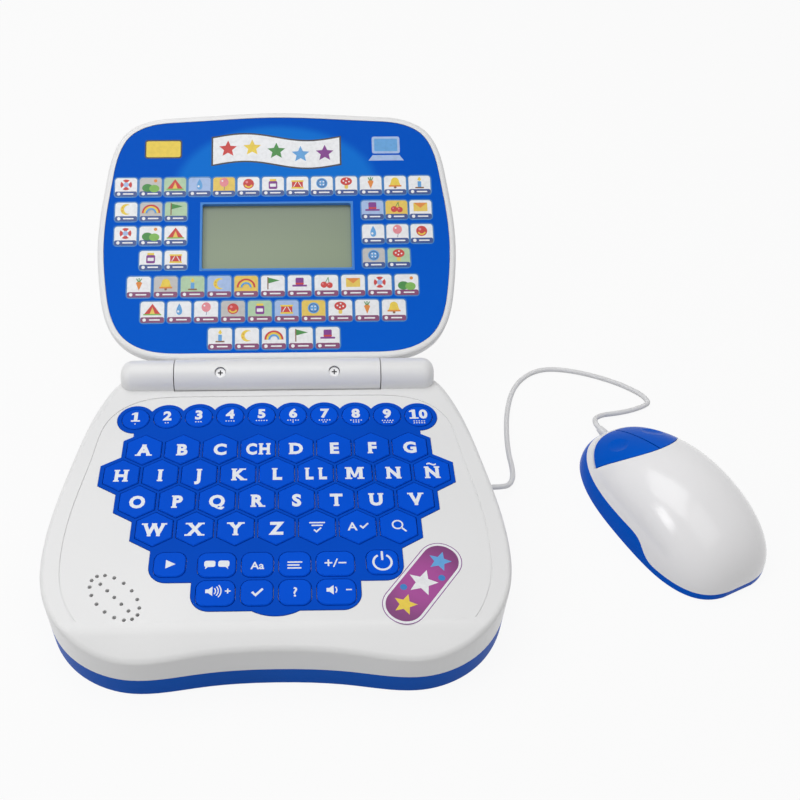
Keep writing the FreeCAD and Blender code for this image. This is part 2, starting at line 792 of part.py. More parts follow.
def below_split(side_x):
    long = mouse_half_length + 6
    climb = mouse_grip - mouse_rim
    heights = [
        (-26.0, mouse_rim),
        (-20.0, mouse_rim + 0.25 * climb),
        (-14.0, mouse_rim + 0.85 * climb),
        (-4.0, mouse_grip),
        (long, mouse_grip_nose),
    ]
    points = [Vector(-side_x, y, z) for y, z in heights]
    rise = smooth_curve(points, Vector(0, 1, 0), Vector(0, 1, 0))
    start, end = rise.StartPoint, rise.EndPoint
    below = [Vector(-side_x, long, -5), Vector(-side_x, -long, -5)]
    corners = [end, *below, Vector(-side_x, -long, mouse_rim), start]
    edges = [rise.toShape()] + [Part.LineSegment(a, b).toShape() for a, b in zip(corners, corners[1:])]
    return Part.Face(Part.Wire(edges)).extrude(Vector(2 * side_x, 0, 0))


def mouse_boss_places():
    return [(0.0, -32.0), (0.0, 8.0)]


def roof_z(body, x, y):
    upright = Part.makeLine(Vector(x, y, 0), Vector(x, y, 2 * mouse_height))
    return upright.common(body).BoundBox.ZMax


def finger_dish(body, x, y):
    step = 1.0
    slope_x = (roof_z(body, x + step, y) - roof_z(body, x - step, y)) / (2 * step)
    slope_y = (roof_z(body, x, y + step) - roof_z(body, x, y - step)) / (2 * step)
    outward = Vector(-slope_x, -slope_y, 1).normalize()
    surface = Vector(x, y, roof_z(body, x, y))
    return Part.makeSphere(dish_radius, surface + outward * (dish_radius - button_dish))


def build_mouse():
    body = mouse_body(0.0, 0.0)
    hollow = mouse_body(mouse_wall, mouse_wall)
    below = below_split(mouse_half_width + 5)
    shell = body.cut(hollow)
    lower = shell.common(below)
    upper = shell.cut(below)
    posts = [drum(x, y, mouse_wall / 2, 7.0, boss_radius) for x, y in mouse_boss_places()]
    board_low = mouse_board_low
    for y in (mouse_board_back + 4.0, mouse_board_front - 4.0):
        for x in (3.0 - mouse_board_half, mouse_board_half - 3.0):
            posts.append(drum(x, y, mouse_wall / 2, board_low, 2.0))
    lower = fused([lower, *posts])
    roof_posts = [drum(x, y, 7.0, mouse_height, boss_radius).common(body) for x, y in mouse_boss_places()]
    upper = fused([upper, *roof_posts])
    head_floor = 2.6
    screws = []
    for x, y in mouse_boss_places():
        lower = lower.cut(drum(x, y, -1, head_floor, screw_head_radius + head_gap))
        lower = lower.cut(drum(x, y, -1, 8.0, screw_radius + head_gap))
        upper = upper.cut(drum(x, y, 6.0, 16.0, screw_radius + thread_gap))
        screws.append(screw(x, y, head_floor - screw_head_height, 15.0))
    ahead = Vector(0, 1, 0)
    hole_start = Vector(0, mouse_half_length - 8, mouse_boot_z)
    hole = Part.makeCylinder(boot_radius + fit_gap, 20.0, hole_start, ahead)
    lower = lower.cut(hole)
    mouth = drum(0, button_centre_y, button_low_z - button_drop, mouse_height + 1, button_radius)
    upper = upper.cut(mouth)
    keep("mouse_bottom_shell", mouse_place(lower.removeSplitter()))
    keep("mouse_top_shell", mouse_place(upper.removeSplitter()))
    keep("mouse_screws", mouse_place(Part.makeCompound(screws)))

    reach = drum(0, button_centre_y, button_low_z, mouse_height + 1, button_radius - button_gap)
    cap = shell.common(reach)
    for side, name in ((-1, "mouse_left_button"), (1, "mouse_right_button")):
        wide = mouse_half_width + 5
        low_x, high_x = (-wide, -button_split / 2) if side < 0 else (button_split / 2, wide)
        button = cap.common(box(low_x, high_x, 0, mouse_half_length + 5, 0, mouse_height + 1))
        stem = drum(side * switch_x, switch_y, switch_top_z + switch_gap, mouse_height, 2.0).common(body)
        button = fused([button, stem])
        keep(name, mouse_place(button.cut(finger_dish(body, side * dish_x, dish_y)).removeSplitter()))

    board = rounded_box(-mouse_board_half, mouse_board_half, mouse_board_back, mouse_board_front,
                        board_low, board_low + board_thickness, 3.0)
    keep("mouse_board", mouse_place(board))
    switches = []
    for side in (1, -1):
        x = side * switch_x
        low = board_low + board_thickness
        case = box(x - 3, x + 3, switch_y - 3, switch_y + 3, low, switch_top_z - 1.0)
        switches.append(case.fuse(drum(x, switch_y, low, switch_top_z, 1.6)).removeSplitter())
    keep("mouse_switches", mouse_place(Part.makeCompound(switches)))


# Cord and its two boots
def boot(neck_length, tip_length):
    up = Vector(0, 0, 1)
    flange_radius = boot_radius + boot_flange_step
    flange = Part.makeCylinder(flange_radius, boot_flange, Vector(0, 0, -boot_flange - neck_length), up)
    neck = Part.makeCylinder(boot_radius, neck_length + 0.5, Vector(0, 0, -neck_length), up)
    taper = Part.makeCone(boot_radius, boot_tip_radius, tip_length - 0.5, Vector(0, 0, 0.5), up)
    return fused([flange, neck, taper])


def mouse_nose_y():
    return mouse_half_length - 0.6


def base_cord_ends():
    tip = Vector(base_boot_x() + base_boot_length, base_boot_y, base_boot_z)
    return [tip, tip + Vector(cord_lead, 0, 0)]


def mouse_cord_ends():
    yaw = math.radians(mouse_yaw)
    ahead = Vector(-math.sin(yaw), math.cos(yaw), 0)
    tip = Vector(mouse_x, mouse_y, mouse_boot_z) + ahead * (mouse_nose_y() + mouse_boot_length)
    return [tip + ahead * cord_lead, tip]


def cord_path(points):
    edges = []
    start = points[0]
    for before, corner, after in zip(points, points[1:], points[2:]):
        toward = (before - corner).normalize()
        away = (after - corner).normalize()
        turn = math.pi - toward.getAngle(away)
        shorter = min((before - corner).Length, (after - corner).Length)
        radius = 0.45 * shorter / math.tan(turn / 2)
        degrees = math.degrees(turn)
        print("cord bend at (%.0f, %.0f): radius %.1f, turn %.0f" % (corner.x, corner.y, radius, degrees))
        cut = 0.45 * shorter
        first, last = corner + toward * cut, corner + away * cut
        middle_way = (toward + away).normalize()
        middle = corner + middle_way * (radius / math.cos(turn / 2) - radius)
        edges += [Part.LineSegment(start, first).toShape(), Part.Arc(first, middle, last).toShape()]
        start = last
    edges.append(Part.LineSegment(start, points[-1]).toShape())
    return Part.Wire(edges)


def build_cord():
    base_boot = boot(bottom_cover_draft + wall + 2.0, base_boot_length)
    base_boot.rotate(Vector(0, 0, 0), Vector(0, 1, 0), 90)
    base_boot.translate(Vector(base_boot_x(), base_boot_y, base_boot_z))
    keep("base_cord_boot", base_boot)
    mouse_boot = boot(mouse_boot_neck, mouse_boot_length)
    mouse_boot.rotate(Vector(0, 0, 0), Vector(1, 0, 0), -90)
    mouse_boot.translate(Vector(0, mouse_nose_y(), mouse_boot_z))
    keep("mouse_cord_boot", mouse_place(mouse_boot))
    points = base_cord_ends() + [Vector(*p) for p in cord_route] + mouse_cord_ends()
    path = cord_path(points)
    section = Part.Wire([Part.makeCircle(cord_diameter / 2, points[0], (points[1] - points[0]).normalize())])
    cord = path.makePipeShell([section], True, False)
    area = math.pi * (cord_diameter / 2) ** 2
    print("cord length %.1f mm, volume %.1f against %.1f" % (path.Length, cord.Volume, area * path.Length))
    keep("mouse_cord", cord)


def main():
    build_keys()
    build_keypad()
    build_top_cover()
    build_bottom_cover()
    build_battery_bay()
    build_base_inside()
    build_lid()
    build_mouse()
    build_cord()
    os.makedirs("parts", exist_ok=True)
    for name, shape in made.items():
        shape.exportStep("parts/%s.step" % name)
        valid = shape.isValid() and all(s.isClosed() for s in shape.Solids)
        if not valid or not shape.Solids:
            print("CHECK %s: valid %s, solids %d" % (name, shape.isValid(), len(shape.Solids)))
    print("%d nodes" % len(made))


main()
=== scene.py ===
import bpy, bmesh
import math
from mathutils import Matrix, Vector


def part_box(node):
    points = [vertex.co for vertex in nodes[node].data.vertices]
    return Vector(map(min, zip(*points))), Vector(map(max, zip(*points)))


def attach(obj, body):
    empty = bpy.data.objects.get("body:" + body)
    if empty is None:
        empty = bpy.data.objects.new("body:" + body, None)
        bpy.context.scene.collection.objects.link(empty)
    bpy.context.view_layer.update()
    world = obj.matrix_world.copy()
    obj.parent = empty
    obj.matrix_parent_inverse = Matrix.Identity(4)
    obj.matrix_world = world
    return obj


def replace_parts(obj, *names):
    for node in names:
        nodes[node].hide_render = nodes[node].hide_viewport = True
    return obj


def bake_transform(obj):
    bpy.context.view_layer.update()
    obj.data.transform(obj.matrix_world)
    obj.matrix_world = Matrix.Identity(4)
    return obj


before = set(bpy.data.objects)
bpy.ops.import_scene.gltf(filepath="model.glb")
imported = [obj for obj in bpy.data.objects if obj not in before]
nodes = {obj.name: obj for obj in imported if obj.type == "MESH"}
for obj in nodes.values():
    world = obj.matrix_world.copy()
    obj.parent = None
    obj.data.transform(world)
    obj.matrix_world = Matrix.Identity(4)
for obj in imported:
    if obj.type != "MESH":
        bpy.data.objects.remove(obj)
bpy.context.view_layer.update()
mm = 0.001
print("frame loaded:", len(nodes), "nodes")

# where the lid, the mouse and the sticker are, in millimetres and degrees
hinge = {"y": 75.0, "z": 32.5, "open": 30.0}
mousePlace = {"x": 188.8, "y": 11.5, "yaw": 24.0, "nose": 50.7}
decalPlace = (62.0, -49.0)
lidFrame = Matrix.Translation((0, hinge["y"] * mm, hinge["z"] * mm))
lidFrame = lidFrame @ Matrix.Rotation(math.radians(hinge["open"]), 4, "X")
millimetres = Matrix.Scale(mm, 4)


# shader maths
class Tap:
    def __init__(self, finish, socket):
        self.finish, self.socket = finish, socket

    def maths(self, operation, first, second=0.0):
        return self.finish.node("ShaderNodeMath", {"operation": operation}, {0: first, 1: second})

    def __add__(self, other):
        return self.maths("ADD", self, other)

    def __radd__(self, other):
        return self.maths("ADD", other, self)

    def __sub__(self, other):
        return self.maths("SUBTRACT", self, other)

    def __rsub__(self, other):
        return self.maths("SUBTRACT", other, self)

    def __mul__(self, other):
        return self.maths("MULTIPLY", self, other)

    def __rmul__(self, other):
        return self.maths("MULTIPLY", other, self)

    def __truediv__(self, other):
        return self.maths("DIVIDE", self, other)

    def __pow__(self, other):
        return self.maths("POWER", self, other)

    def __lt__(self, other):
        return self.maths("LESS_THAN", self, other)

    def __gt__(self, other):
        return self.maths("GREATER_THAN", self, other)

    def __abs__(self):
        return self.maths("ABSOLUTE", self)


class Finish:
    def __init__(self, name, world=None):
        self.material = world or bpy.data.materials.new(name)
        self.material.use_nodes = True
        self.tree = self.material.node_tree
        self.tree.nodes.clear()

    def node(self, kind, settings=None, inputs=None, out=0):
        made = self.tree.nodes.new(kind)
        for key, value in (settings or {}).items():
            setattr(made, key, value)
        for key, value in (inputs or {}).items():
            if isinstance(value, Tap):
                self.tree.links.new(value.socket, made.inputs[key])
            else:
                made.inputs[key].default_value = value
        return Tap(self, made.outputs[out]) if len(made.outputs) else None

    def place(self):
        return self.node("ShaderNodeTexCoord", out="Object")

    def seen(self):
        # 1 to the eye, to mirrors and through glass, 0 to the light that falls on the object
        outs = self.node("ShaderNodeLightPath").socket.node.outputs
        kinds = ("Is Camera Ray", "Is Glossy Ray", "Is Transmission Ray")
        eye, mirror, glass = [Tap(self, outs[kind]) for kind in kinds]
        return eye + mirror + glass

    def axes(self):
        split = self.node("ShaderNodeSeparateXYZ", None, {0: self.place()})
        outs = split.socket.node.outputs
        return [Tap(self, outs[i]) for i in range(3)]

    def noise(self, scale, detail=3.0, roughness=0.55):
        return self.node("ShaderNodeTexNoise", None, {
            "Vector": self.place(), "Scale": scale, "Detail": detail, "Roughness": roughness})

    def mix(self, amount, low, high):
        return self.node("ShaderNodeMix", {"data_type": "RGBA"}, {0: amount, 6: low, 7: high}, out=2)

    def soft(self, value, low, high):
        return self.node("ShaderNodeMapRange", {"interpolation_type": "SMOOTHSTEP"}, {
            "Value": value, "From Min": low, "From Max": high})

    def bump(self, height, strength, distance):
        return self.node("ShaderNodeBump", None, {
            "Height": height, "Strength": strength, "Distance": distance})

    def shade(self, **inputs):
        surface = self.node("ShaderNodeBsdfPrincipled", None, {
            key.replace("_", " "): value for key, value in inputs.items()})
        self.node("ShaderNodeOutputMaterial", None, {"Surface": surface})
        return self.material


def rgba(colour):
    return (*colour, 1.0)


# moulded plastic: noise scales, how much each changes the gloss, and the grain's depth in metres
moulding = {"toneScale": 14.0, "toneFrom": 0.3, "toneFull": 0.7, "toneGloss": 0.06,
            "scuffScale": 65.0, "scuffFrom": 0.56, "scuffFull": 0.72, "scuffGloss": 0.05,
            "grainScale": 900.0, "grainBump": 0.25, "grainDeep": 0.00006, "coatRough": 0.12}


def plastic(name, colour, rough, grain=0.0, coat=0.0, drift=0.05, specular=0.5):
    # slow drift of tone, faint scuffs and a fine spark-eroded grain
    f = Finish(name)
    slow = f.noise(moulding["toneScale"], 2.0)
    fine = f.noise(moulding["grainScale"], 2.0)
    scuff = f.soft(f.noise(moulding["scuffScale"], 5.0, 0.7), moulding["scuffFrom"], moulding["scuffFull"])
    dark = [c * (1 - drift) for c in colour]
    light = [min(1.0, c * (1 + drift)) for c in colour]
    tone = f.mix(f.soft(slow, moulding["toneFrom"], moulding["toneFull"]), rgba(dark), rgba(light))
    gloss = rough + moulding["toneGloss"] * (slow - 0.5) + moulding["scuffGloss"] * scuff
    return f.shade(Base_Color=tone, Roughness=gloss, Coat_Weight=coat, Coat_Roughness=moulding["coatRough"],
                   Specular_IOR_Level=specular,
                   Normal=f.bump(fine, moulding["grainBump"] * grain, moulding["grainDeep"]))


plating = {"brushScale": 700.0, "dark": 0.8, "gloss": 0.12, "bump": 0.1, "deep": 0.00004}


def metal(name, colour, rough):
    f = Finish(name)
    brush = f.noise(plating["brushScale"], 3.0)
    tone = f.mix(brush, rgba([c * plating["dark"] for c in colour]), rgba(colour))
    return f.shade(Base_Color=tone, Metallic=1.0, Roughness=rough + plating["gloss"] * brush,
                   Normal=f.bump(brush, plating["bump"], plating["deep"]))


# heights on the panel are in millimetres up from the hinge
panelPrint = {"deep": (0.0005, 0.090, 0.570), "mid": (0.0006, 0.106, 0.640), "midTo": 20.0,
              "deepFrom": 140.0,
              "glow": (0.010, 0.205, 0.72), "glowLow": 103.0, "glowWide": 58.0, "glowTall": 40.0,
              "fanSoft": 0.86, "fanFrom": 106.0, "fanFull": 108.0, "fanInk": 0.75,
              "rim": (0.10, 0.30, 0.72), "rimInk": 0.9, "speckScale": 420.0, "speckInk": 0.10,
              "rough": 0.28, "roughDrift": 0.06, "driftScale": 30.0, "specular": 0.03,
              "grainScale": 500.0, "grainBump": 0.05, "grainDeep": 0.00005}
lcdWindow = {"half": 39.3, "low": 58.4, "high": 94.9, "rim": 1.2}


def panelFinish():
    # printed sheet: a fan of lighter blue behind the heading, and a paler blue band round the display's
    # window
    f = Finish("printedPanel")
    x, y, z = f.axes()
    turn = math.radians(hinge["open"])
    up = ((y - hinge["y"] * mm) * math.cos(turn) + (z - hinge["z"] * mm) * math.sin(turn)) * (1 / mm)
    across = abs(x) * (1 / mm)
    overX = across / panelPrint["glowWide"]
    overY = (up - panelPrint["glowLow"]) / panelPrint["glowTall"]
    reach = (overX * overX + overY * overY) ** 0.5
    fan = 1.0 - f.soft(reach, panelPrint["fanSoft"], 1.0)
    fan = fan * f.soft(up, panelPrint["fanFrom"], panelPrint["fanFull"])
    rim = lcdWindow["rim"]
    tall = (up > lcdWindow["low"] - rim) * (up < lcdWindow["high"] + rim)
    inside = (across < lcdWindow["half"] + rim) * tall
    deep = f.soft(up, panelPrint["midTo"], panelPrint["deepFrom"])
    shade = f.mix(deep, rgba(panelPrint["mid"]), rgba(panelPrint["deep"]))
    speck = f.noise(panelPrint["speckScale"], 2.0)
    shade = f.mix(panelPrint["speckInk"] * speck, shade, rgba(panelPrint["glow"]))
    shade = f.mix(panelPrint["fanInk"] * fan, shade, rgba(panelPrint["glow"]))
    shade = f.mix(panelPrint["rimInk"] * inside, shade, rgba(panelPrint["rim"]))
    gloss = panelPrint["rough"] + panelPrint["roughDrift"] * f.noise(panelPrint["driftScale"])
    grain = f.noise(panelPrint["grainScale"])
    return f.shade(Base_Color=shade, Roughness=gloss, Specular_IOR_Level=panelPrint["specular"],
                   Normal=f.bump(grain, panelPrint["grainBump"], panelPrint["grainDeep"]))


# the glass darkens between two heights above the table, in metres: painted shade, darker towards the top
lcdGlass = {"low": (0.265, 0.325, 0.215), "high": (0.215, 0.265, 0.185), "from": 0.062, "to": 0.080,
            "line": (0.12, 0.15, 0.11), "lineScale": 300.0, "lineInk": 0.05, "rough": 0.20,
            "roughDrift": 0.03, "driftScale": 40.0, "specular": 0.35}


def lcdFinish():
    f = Finish("displayGlass")
    height = f.axes()[2]
    # painted shade: the glass is darker towards its top
    share = f.soft(height, lcdGlass["from"], lcdGlass["to"])
    tone = f.mix(share, rgba(lcdGlass["low"]), rgba(lcdGlass["high"]))
    lines = f.node("ShaderNodeTexWave", {"bands_direction": "X"}, {
        "Vector": f.place(), "Scale": lcdGlass["lineScale"]})
    tone = f.mix(lcdGlass["lineInk"] * lines, tone, rgba(lcdGlass["line"]))
    gloss = lcdGlass["rough"] + lcdGlass["roughDrift"] * f.noise(lcdGlass["driftScale"])
    return f.shade(Base_Color=tone, Roughness=gloss, Specular_IOR_Level=lcdGlass["specular"])


decalGloss = {"fadeFrom": 0.25, "rough": 0.30, "roughDrift": 0.05, "driftScale": 60.0, "coat": 0.3,
              "coatRough": 0.08}


def discFinish(name, centre, radius, inner, outer):
    # one tone in the middle that fades to another at the radius
    f = Finish(name)
    x, y = f.axes()[:2]
    dx = (x - centre[0] * mm) * (1 / (radius * mm))
    dy = (y - centre[1] * mm) * (1 / (radius * mm))
    out = (dx * dx + dy * dy) ** 0.5
    tone = f.mix(f.soft(out, decalGloss["fadeFrom"], 1.0), rgba(inner), rgba(outer))
    gloss = decalGloss["rough"] + decalGloss["roughDrift"] * f.noise(decalGloss["driftScale"])
    return f.shade(Base_Color=tone, Roughness=gloss, Coat_Weight=decalGloss["coat"],
                   Coat_Roughness=decalGloss["coatRough"])


inkWear = {"scale": 500.0, "from": 0.35, "full": 0.75, "dark": 0.90, "gloss": 0.1}


def ink(name, colour, rough=0.45):
    f = Finish(name)
    worn = f.noise(inkWear["scale"], 4.0)
    wear = f.soft(worn, inkWear["from"], inkWear["full"])
    tone = f.mix(wear, rgba(colour), rgba([c * inkWear["dark"] for c in colour]))
    return f.shade(Base_Color=tone, Roughness=rough + inkWear["gloss"] * (worn - 0.5))


boardPrint = {"track": (0.06, 0.22, 0.09), "ground": (0.015, 0.11, 0.04), "scale": 260.0, "from": 0.04,
              "full": 0.10, "rough": 0.4}


def circuitFinish():
    f = Finish("circuitBoard")
    tracks = f.node("ShaderNodeTexVoronoi", {"feature": "DISTANCE_TO_EDGE"}, {
        "Vector": f.place(), "Scale": boardPrint["scale"]})
    far = f.soft(tracks, boardPrint["from"], boardPrint["full"])
    tone = f.mix(far, rgba(boardPrint["track"]), rgba(boardPrint["ground"]))
    return f.shade(Base_Color=tone, Roughness=boardPrint["rough"])


finishes = {
    "whiteShell": plastic("whiteShell", (0.815, 0.815, 0.815), 0.34, grain=0.5, coat=0.15, drift=0.015),
    "whiteGloss": plastic("whiteGloss", (0.890, 0.882, 0.892), 0.20, coat=0.4, drift=0.012),
    "blueShell": plastic("blueShell", (0.002, 0.100, 0.53), 0.40, grain=0.4, drift=0.06, specular=0.03),
    "blueGloss": plastic("blueGloss", (0.0010, 0.105, 0.62), 0.22, drift=0.05, specular=0.02),
    "keypadMat": plastic("keypadMat", (0.0008, 0.074, 0.560), 0.45, grain=0.6, drift=0.05, specular=0.03),
    "keyCap": plastic("keyCap", (0.0008, 0.088, 0.690), 0.42, grain=0.6, drift=0.05, specular=0.03),
    "panel": panelFinish(),
    "display": lcdFinish(),
    "steel": metal("platedSteel", (0.52, 0.52, 0.53), 0.30),
    "cordSkin": plastic("cordSkin", (0.760, 0.760, 0.765), 0.42, grain=0.4, drift=0.02),
    "board": circuitFinish(),
    "darkPlastic": plastic("darkPlastic", (0.030, 0.030, 0.032), 0.5, drift=0.1),
    "cellCan": plastic("cellCan", (0.05, 0.05, 0.055), 0.3, coat=0.3, drift=0.1),
    "film": plastic("circuitFilm", (0.70, 0.69, 0.62), 0.35, drift=0.04),
    "legend": ink("legendInk", (0.84, 0.87, 0.92)),
    "tile": ink("tileWhite", (0.86, 0.87, 0.89), 0.3),
    "tileBlue": ink("tilePaleBlue", (0.36, 0.50, 0.78), 0.3),
    "tileYellow": ink("tileYellow", (0.80, 0.56, 0.08), 0.3),
    "tileGreen": ink("tileGreen", (0.42, 0.60, 0.38), 0.3),
    "tileGrey": ink("tileGrey", (0.52, 0.51, 0.50), 0.3),
    "stripBlue": ink("stripBlue", (0.012, 0.055, 0.25), 0.3),
    "stripMaroon": ink("stripMaroon", (0.20, 0.030, 0.13), 0.3),
    "halo": ink("tileHalo", (0.02, 0.19, 0.50), 0.3),
    "red": ink("printRed", (0.58, 0.035, 0.030)),
    "orange": ink("printOrange", (0.75, 0.24, 0.03)),
    "yellow": ink("printYellow", (0.84, 0.62, 0.06)),
    "green": ink("printGreen", (0.04, 0.24, 0.04)),
    "leaf": ink("printLeaf", (0.20, 0.46, 0.08)),
    "pink": ink("printPink", (0.80, 0.26, 0.30)),
    "brown": ink("printBrown", (0.20, 0.085, 0.035)),
    "skyBlue": ink("printSkyBlue", (0.11, 0.36, 0.72)),
    "purple": ink("printPurple", (0.20, 0.02, 0.24)),
    "black": ink("printBlack", (0.018, 0.018, 0.022)),
    "plum": discFinish("decalPlum", decalPlace, 22.0, (0.36, 0.035, 0.28), (0.17, 0.010, 0.14)),
    "decalBlue": ink("decalBlue", (0.02, 0.20, 0.55), 0.3),
}
print("finishes made:", len(finishes))

nodeFinish = {
    "whiteShell": ["base_top_cover", "hinge_posts", "lid_front_frame", "lid_back_cover", "hinge_cover"],
    "whiteGloss": ["mouse_top_shell"],
    "blueShell": ["base_bottom_cover", "battery_door"],
    "blueGloss": ["mouse_bottom_shell", "mouse_left_button", "mouse_right_button"],
    "keypadMat": ["keypad_mat"],
    "panel": ["picture_panel"],
    "display": ["lcd_panel"],
    "steel": [n for n in nodes if "screw" in n] + ["hinge_pins", "battery_contacts"],
    "cordSkin": ["mouse_cord_boot", "base_cord_boot", "mouse_cord"],
    "board": ["main_board", "lcd_board", "mouse_board"],
    "darkPlastic": ["speaker", "mouse_switches"],
    "cellCan": ["battery_cells"],
    "film": ["keypad_circuit"],
    "keyCap": [n for n in nodes if n.startswith(("key_", "letter_keys"))],
}
for finishName, names in nodeFinish.items():
    for name in names:
        mesh = nodes[name].data
        mesh.materials.clear()
        mesh.materials.append(finishes[finishName])


def addObject(name, mesh):
    piece = bpy.data.objects.new(name, mesh)
    bpy.context.scene.collection.objects.link(piece)
    return piece


def plainMesh(helper):
    # the helper's evaluated shape as a mesh of its own, and the helper is gone
    bpy.context.view_layer.update()
    mesh = bpy.data.meshes.new_from_object(helper.evaluated_get(bpy.context.evaluated_depsgraph_get()))
    bpy.data.objects.remove(helper)
    return mesh


# flat printed shapes, in millimetres
inkThick = 0.03


class Print:
    # thin printed solids gathered into one piece, each with its own ink
    def __init__(self, name, body, slotName, toWorld):
        self.name, self.body, self.slotName, self.toWorld = name, body, slotName, toWorld
        self.bm = bmesh.new()
        self.inks = []

    def inkIndex(self, inkName):
        if inkName not in self.inks:
            self.inks.append(inkName)
        return self.inks.index(inkName)

    def polygon(self, points, level, inkName, thick=inkThick):
        low = [self.bm.verts.new((x, y, level)) for x, y in points]
        high = [self.bm.verts.new((x, y, level + thick)) for x, y in points]
        count = len(points)
        area = sum(points[i - 1][0] * points[i][1] - points[i][0] * points[i - 1][1] for i in range(count))
        if area < 0:
            low.reverse()
            high.reverse()
        faces = [self.bm.faces.new(high), self.bm.faces.new(low[::-1])]
        faces += [self.bm.faces.new((low[i - 1], low[i], high[i], high[i - 1])) for i in range(count)]
        for face in faces:
            face.material_index = self.inkIndex(inkName)

    def flatMesh(self, mesh, place, level, inkName):
        # a face's own height is added, so faces that cross never share a plane
        flat = bmesh.new()
        flat.from_mesh(mesh)
        flat.transform(place)
        for face in flat.faces:
            points = [(v.co.x, v.co.y) for v in face.verts]
            self.polygon(points, level, inkName, inkThick + face.verts[0].co.z)
        flat.free()

    def finish(self):
        mesh = bpy.data.meshes.new(self.name)
        self.bm.transform(self.toWorld @ millimetres)
        self.bm.to_mesh(mesh)
        self.bm.free()
        for inkName in self.inks:
            mesh.materials.append(finishes[inkName])
        piece = addObject(self.name, mesh)
        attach(piece, self.body)


def ring(cx, cy, radius, count=28, squash=1.0):
    angles = [2 * math.pi * i / count for i in range(count)]
    return [(cx + radius * math.cos(a), cy + squash * radius * math.sin(a)) for a in angles]


def roundedBox(cx, cy, wide, tall, corner, turn=0.0, steps=5):
    points = []
    for sx, sy, start in ((1, 1, 0), (-1, 1, 90), (-1, -1, 180), (1, -1, 270)):
        for i in range(steps + 1):
            angle = math.radians(start + 90 * i / steps)
            points.append((sx * (wide / 2 - corner) + corner * math.cos(angle),
                           sy * (tall / 2 - corner) + corner * math.sin(angle)))
    c, s = math.cos(math.radians(turn)), math.sin(math.radians(turn))
    return [(cx + x * c - y * s, cy + x * s + y * c) for x, y in points]


def starPoints(cx, cy, outer, inner, tips=5, turn=90.0):
    points = []
    for i in range(2 * tips):
        radius = outer if i % 2 == 0 else inner
        angle = math.radians(turn + 180 * i / tips)
        points.append((cx + radius * math.cos(angle), cy + radius * math.sin(angle)))
    return points


def arcBand(cx, cy, radius, width, start, end, count=20):
    angles = [math.radians(start + (end - start) * i / count) for i in range(count + 1)]
    edges = (radius + width / 2, radius - width / 2)
    outside, inside = [[(cx + r * math.cos(a), cy + r * math.sin(a)) for a in angles] for r in edges]
    return [(outside[i], outside[i + 1], inside[i + 1], inside[i]) for i in range(count)]


def upright(left, right, low, high):
    return [(left, low), (right, low), (right, high), (left, high)]


# lettering
# shares of the font's size: stroke growth, serif reach and thickness, and which edges count as a stem's end
lettering = {"bold": 0.046, "signBold": 0.018, "capTall": 0.69, "wide": 0.95, "pairWide": 0.80,
             "round": "CGOQS", "serif": 0.055, "serifThick": 0.09, "stemLow": 0.07, "stemHigh": 0.34,
             "level": 0.004, "footNear": 0.03, "headNear": 0.06, "lift": 0.004, "curveSteps": 3}


def serifBars(bm, bold):
    # a bar across the foot or the head of every straight stem
    low, top = -bold, lettering["capTall"] + bold
    thick = lettering["serifThick"]
    bars = []
    for edge in bm.edges:
        if len(edge.link_faces) != 1:
            continue
        a, b = (v.co for v in edge.verts)
        stem = lettering["stemLow"] < abs(a.x - b.x) < lettering["stemHigh"]
        if abs(a.y - b.y) > lettering["level"] or not stem:
            continue
        left, right = min(a.x, b.x) - lettering["serif"], max(a.x, b.x) + lettering["serif"]
        if abs(a.y - low) < lettering["footNear"]:
            bars.append(upright(left, right, low, low + thick))
        elif abs(a.y - top) < lettering["headNear"]:
            bars.append(upright(left, right, a.y - thick, a.y))
    return bars


def textMesh(words, height, serifs, bold):
    curve = bpy.data.curves.new("words", "FONT")
    curve.body, curve.size, curve.align_x, curve.align_y = words, 1.0, "CENTER", "BOTTOM_BASELINE"
    curve.offset, curve.resolution_u = bold, lettering["curveSteps"]
    mesh = plainMesh(addObject("words", curve))
    bpy.data.curves.remove(curve)
    bm = bmesh.new()
    bm.from_mesh(mesh)
    bmesh.ops.remove_doubles(bm, verts=bm.verts, dist=1e-5)
    bars = serifBars(bm, bold) if serifs else []
    for i, corners in enumerate(bars):
        lift = lettering["lift"] * (i + 1)
        bm.faces.new([bm.verts.new((x, y, lift)) for x, y in corners])
    scale = height / lettering["capTall"]
    bmesh.ops.scale(bm, vec=(scale, scale, 1), verts=bm.verts)
    bm.to_mesh(mesh)
    bm.free()
    return mesh


def letter(printing, words, x, y, height, level, serifs=True, wide=1.0, bold=lettering["bold"]):
    mesh = textMesh(words, height, serifs, bold)
    place = Matrix.Translation((x, y - height / 2, 0)) @ Matrix.Diagonal((wide, 1, 1, 1))
    printing.flatMesh(mesh, place, level, "legend")
    bpy.data.meshes.remove(mesh)


def mirrored(points):
    return [(-px, py) for px, py in points]


# signs drawn one by one, in shares of their height
mStem = upright(-0.52, -0.27, 0, 1)
mArm = [(-0.45, 1.0), (-0.20, 1.0), (0.07, 0.14), (-0.07, 0.14)]
mFoot = upright(-0.62, -0.17, 0, 0.12)
mHead = upright(-0.62, -0.30, 0.88, 1)
mHalf = [mStem, mArm, mFoot, mHead]
oneFlag = [(-0.36, 0.72), (-0.36, 0.84), (-0.10, 1.0), (0.04, 1.0), (0.04, 0.80)]
drawnSigns = {
    "M": mHalf + [mirrored(points) for points in mHalf],
    "1": [upright(-0.14, 0.14, 0, 1), oneFlag, upright(-0.36, 0.36, 0, 0.14)],
}


def drawnSign(printing, sign, x, y, height, level):
    tall = height * (1 + 2 * lettering["bold"] / lettering["capTall"])
    for step, points in enumerate(drawnSigns[sign]):
        placed = [(x + px * tall, y + (py - 0.5) * tall) for px, py in points]
        printing.polygon(placed, level, "legend", inkThick + lettering["lift"] * step)


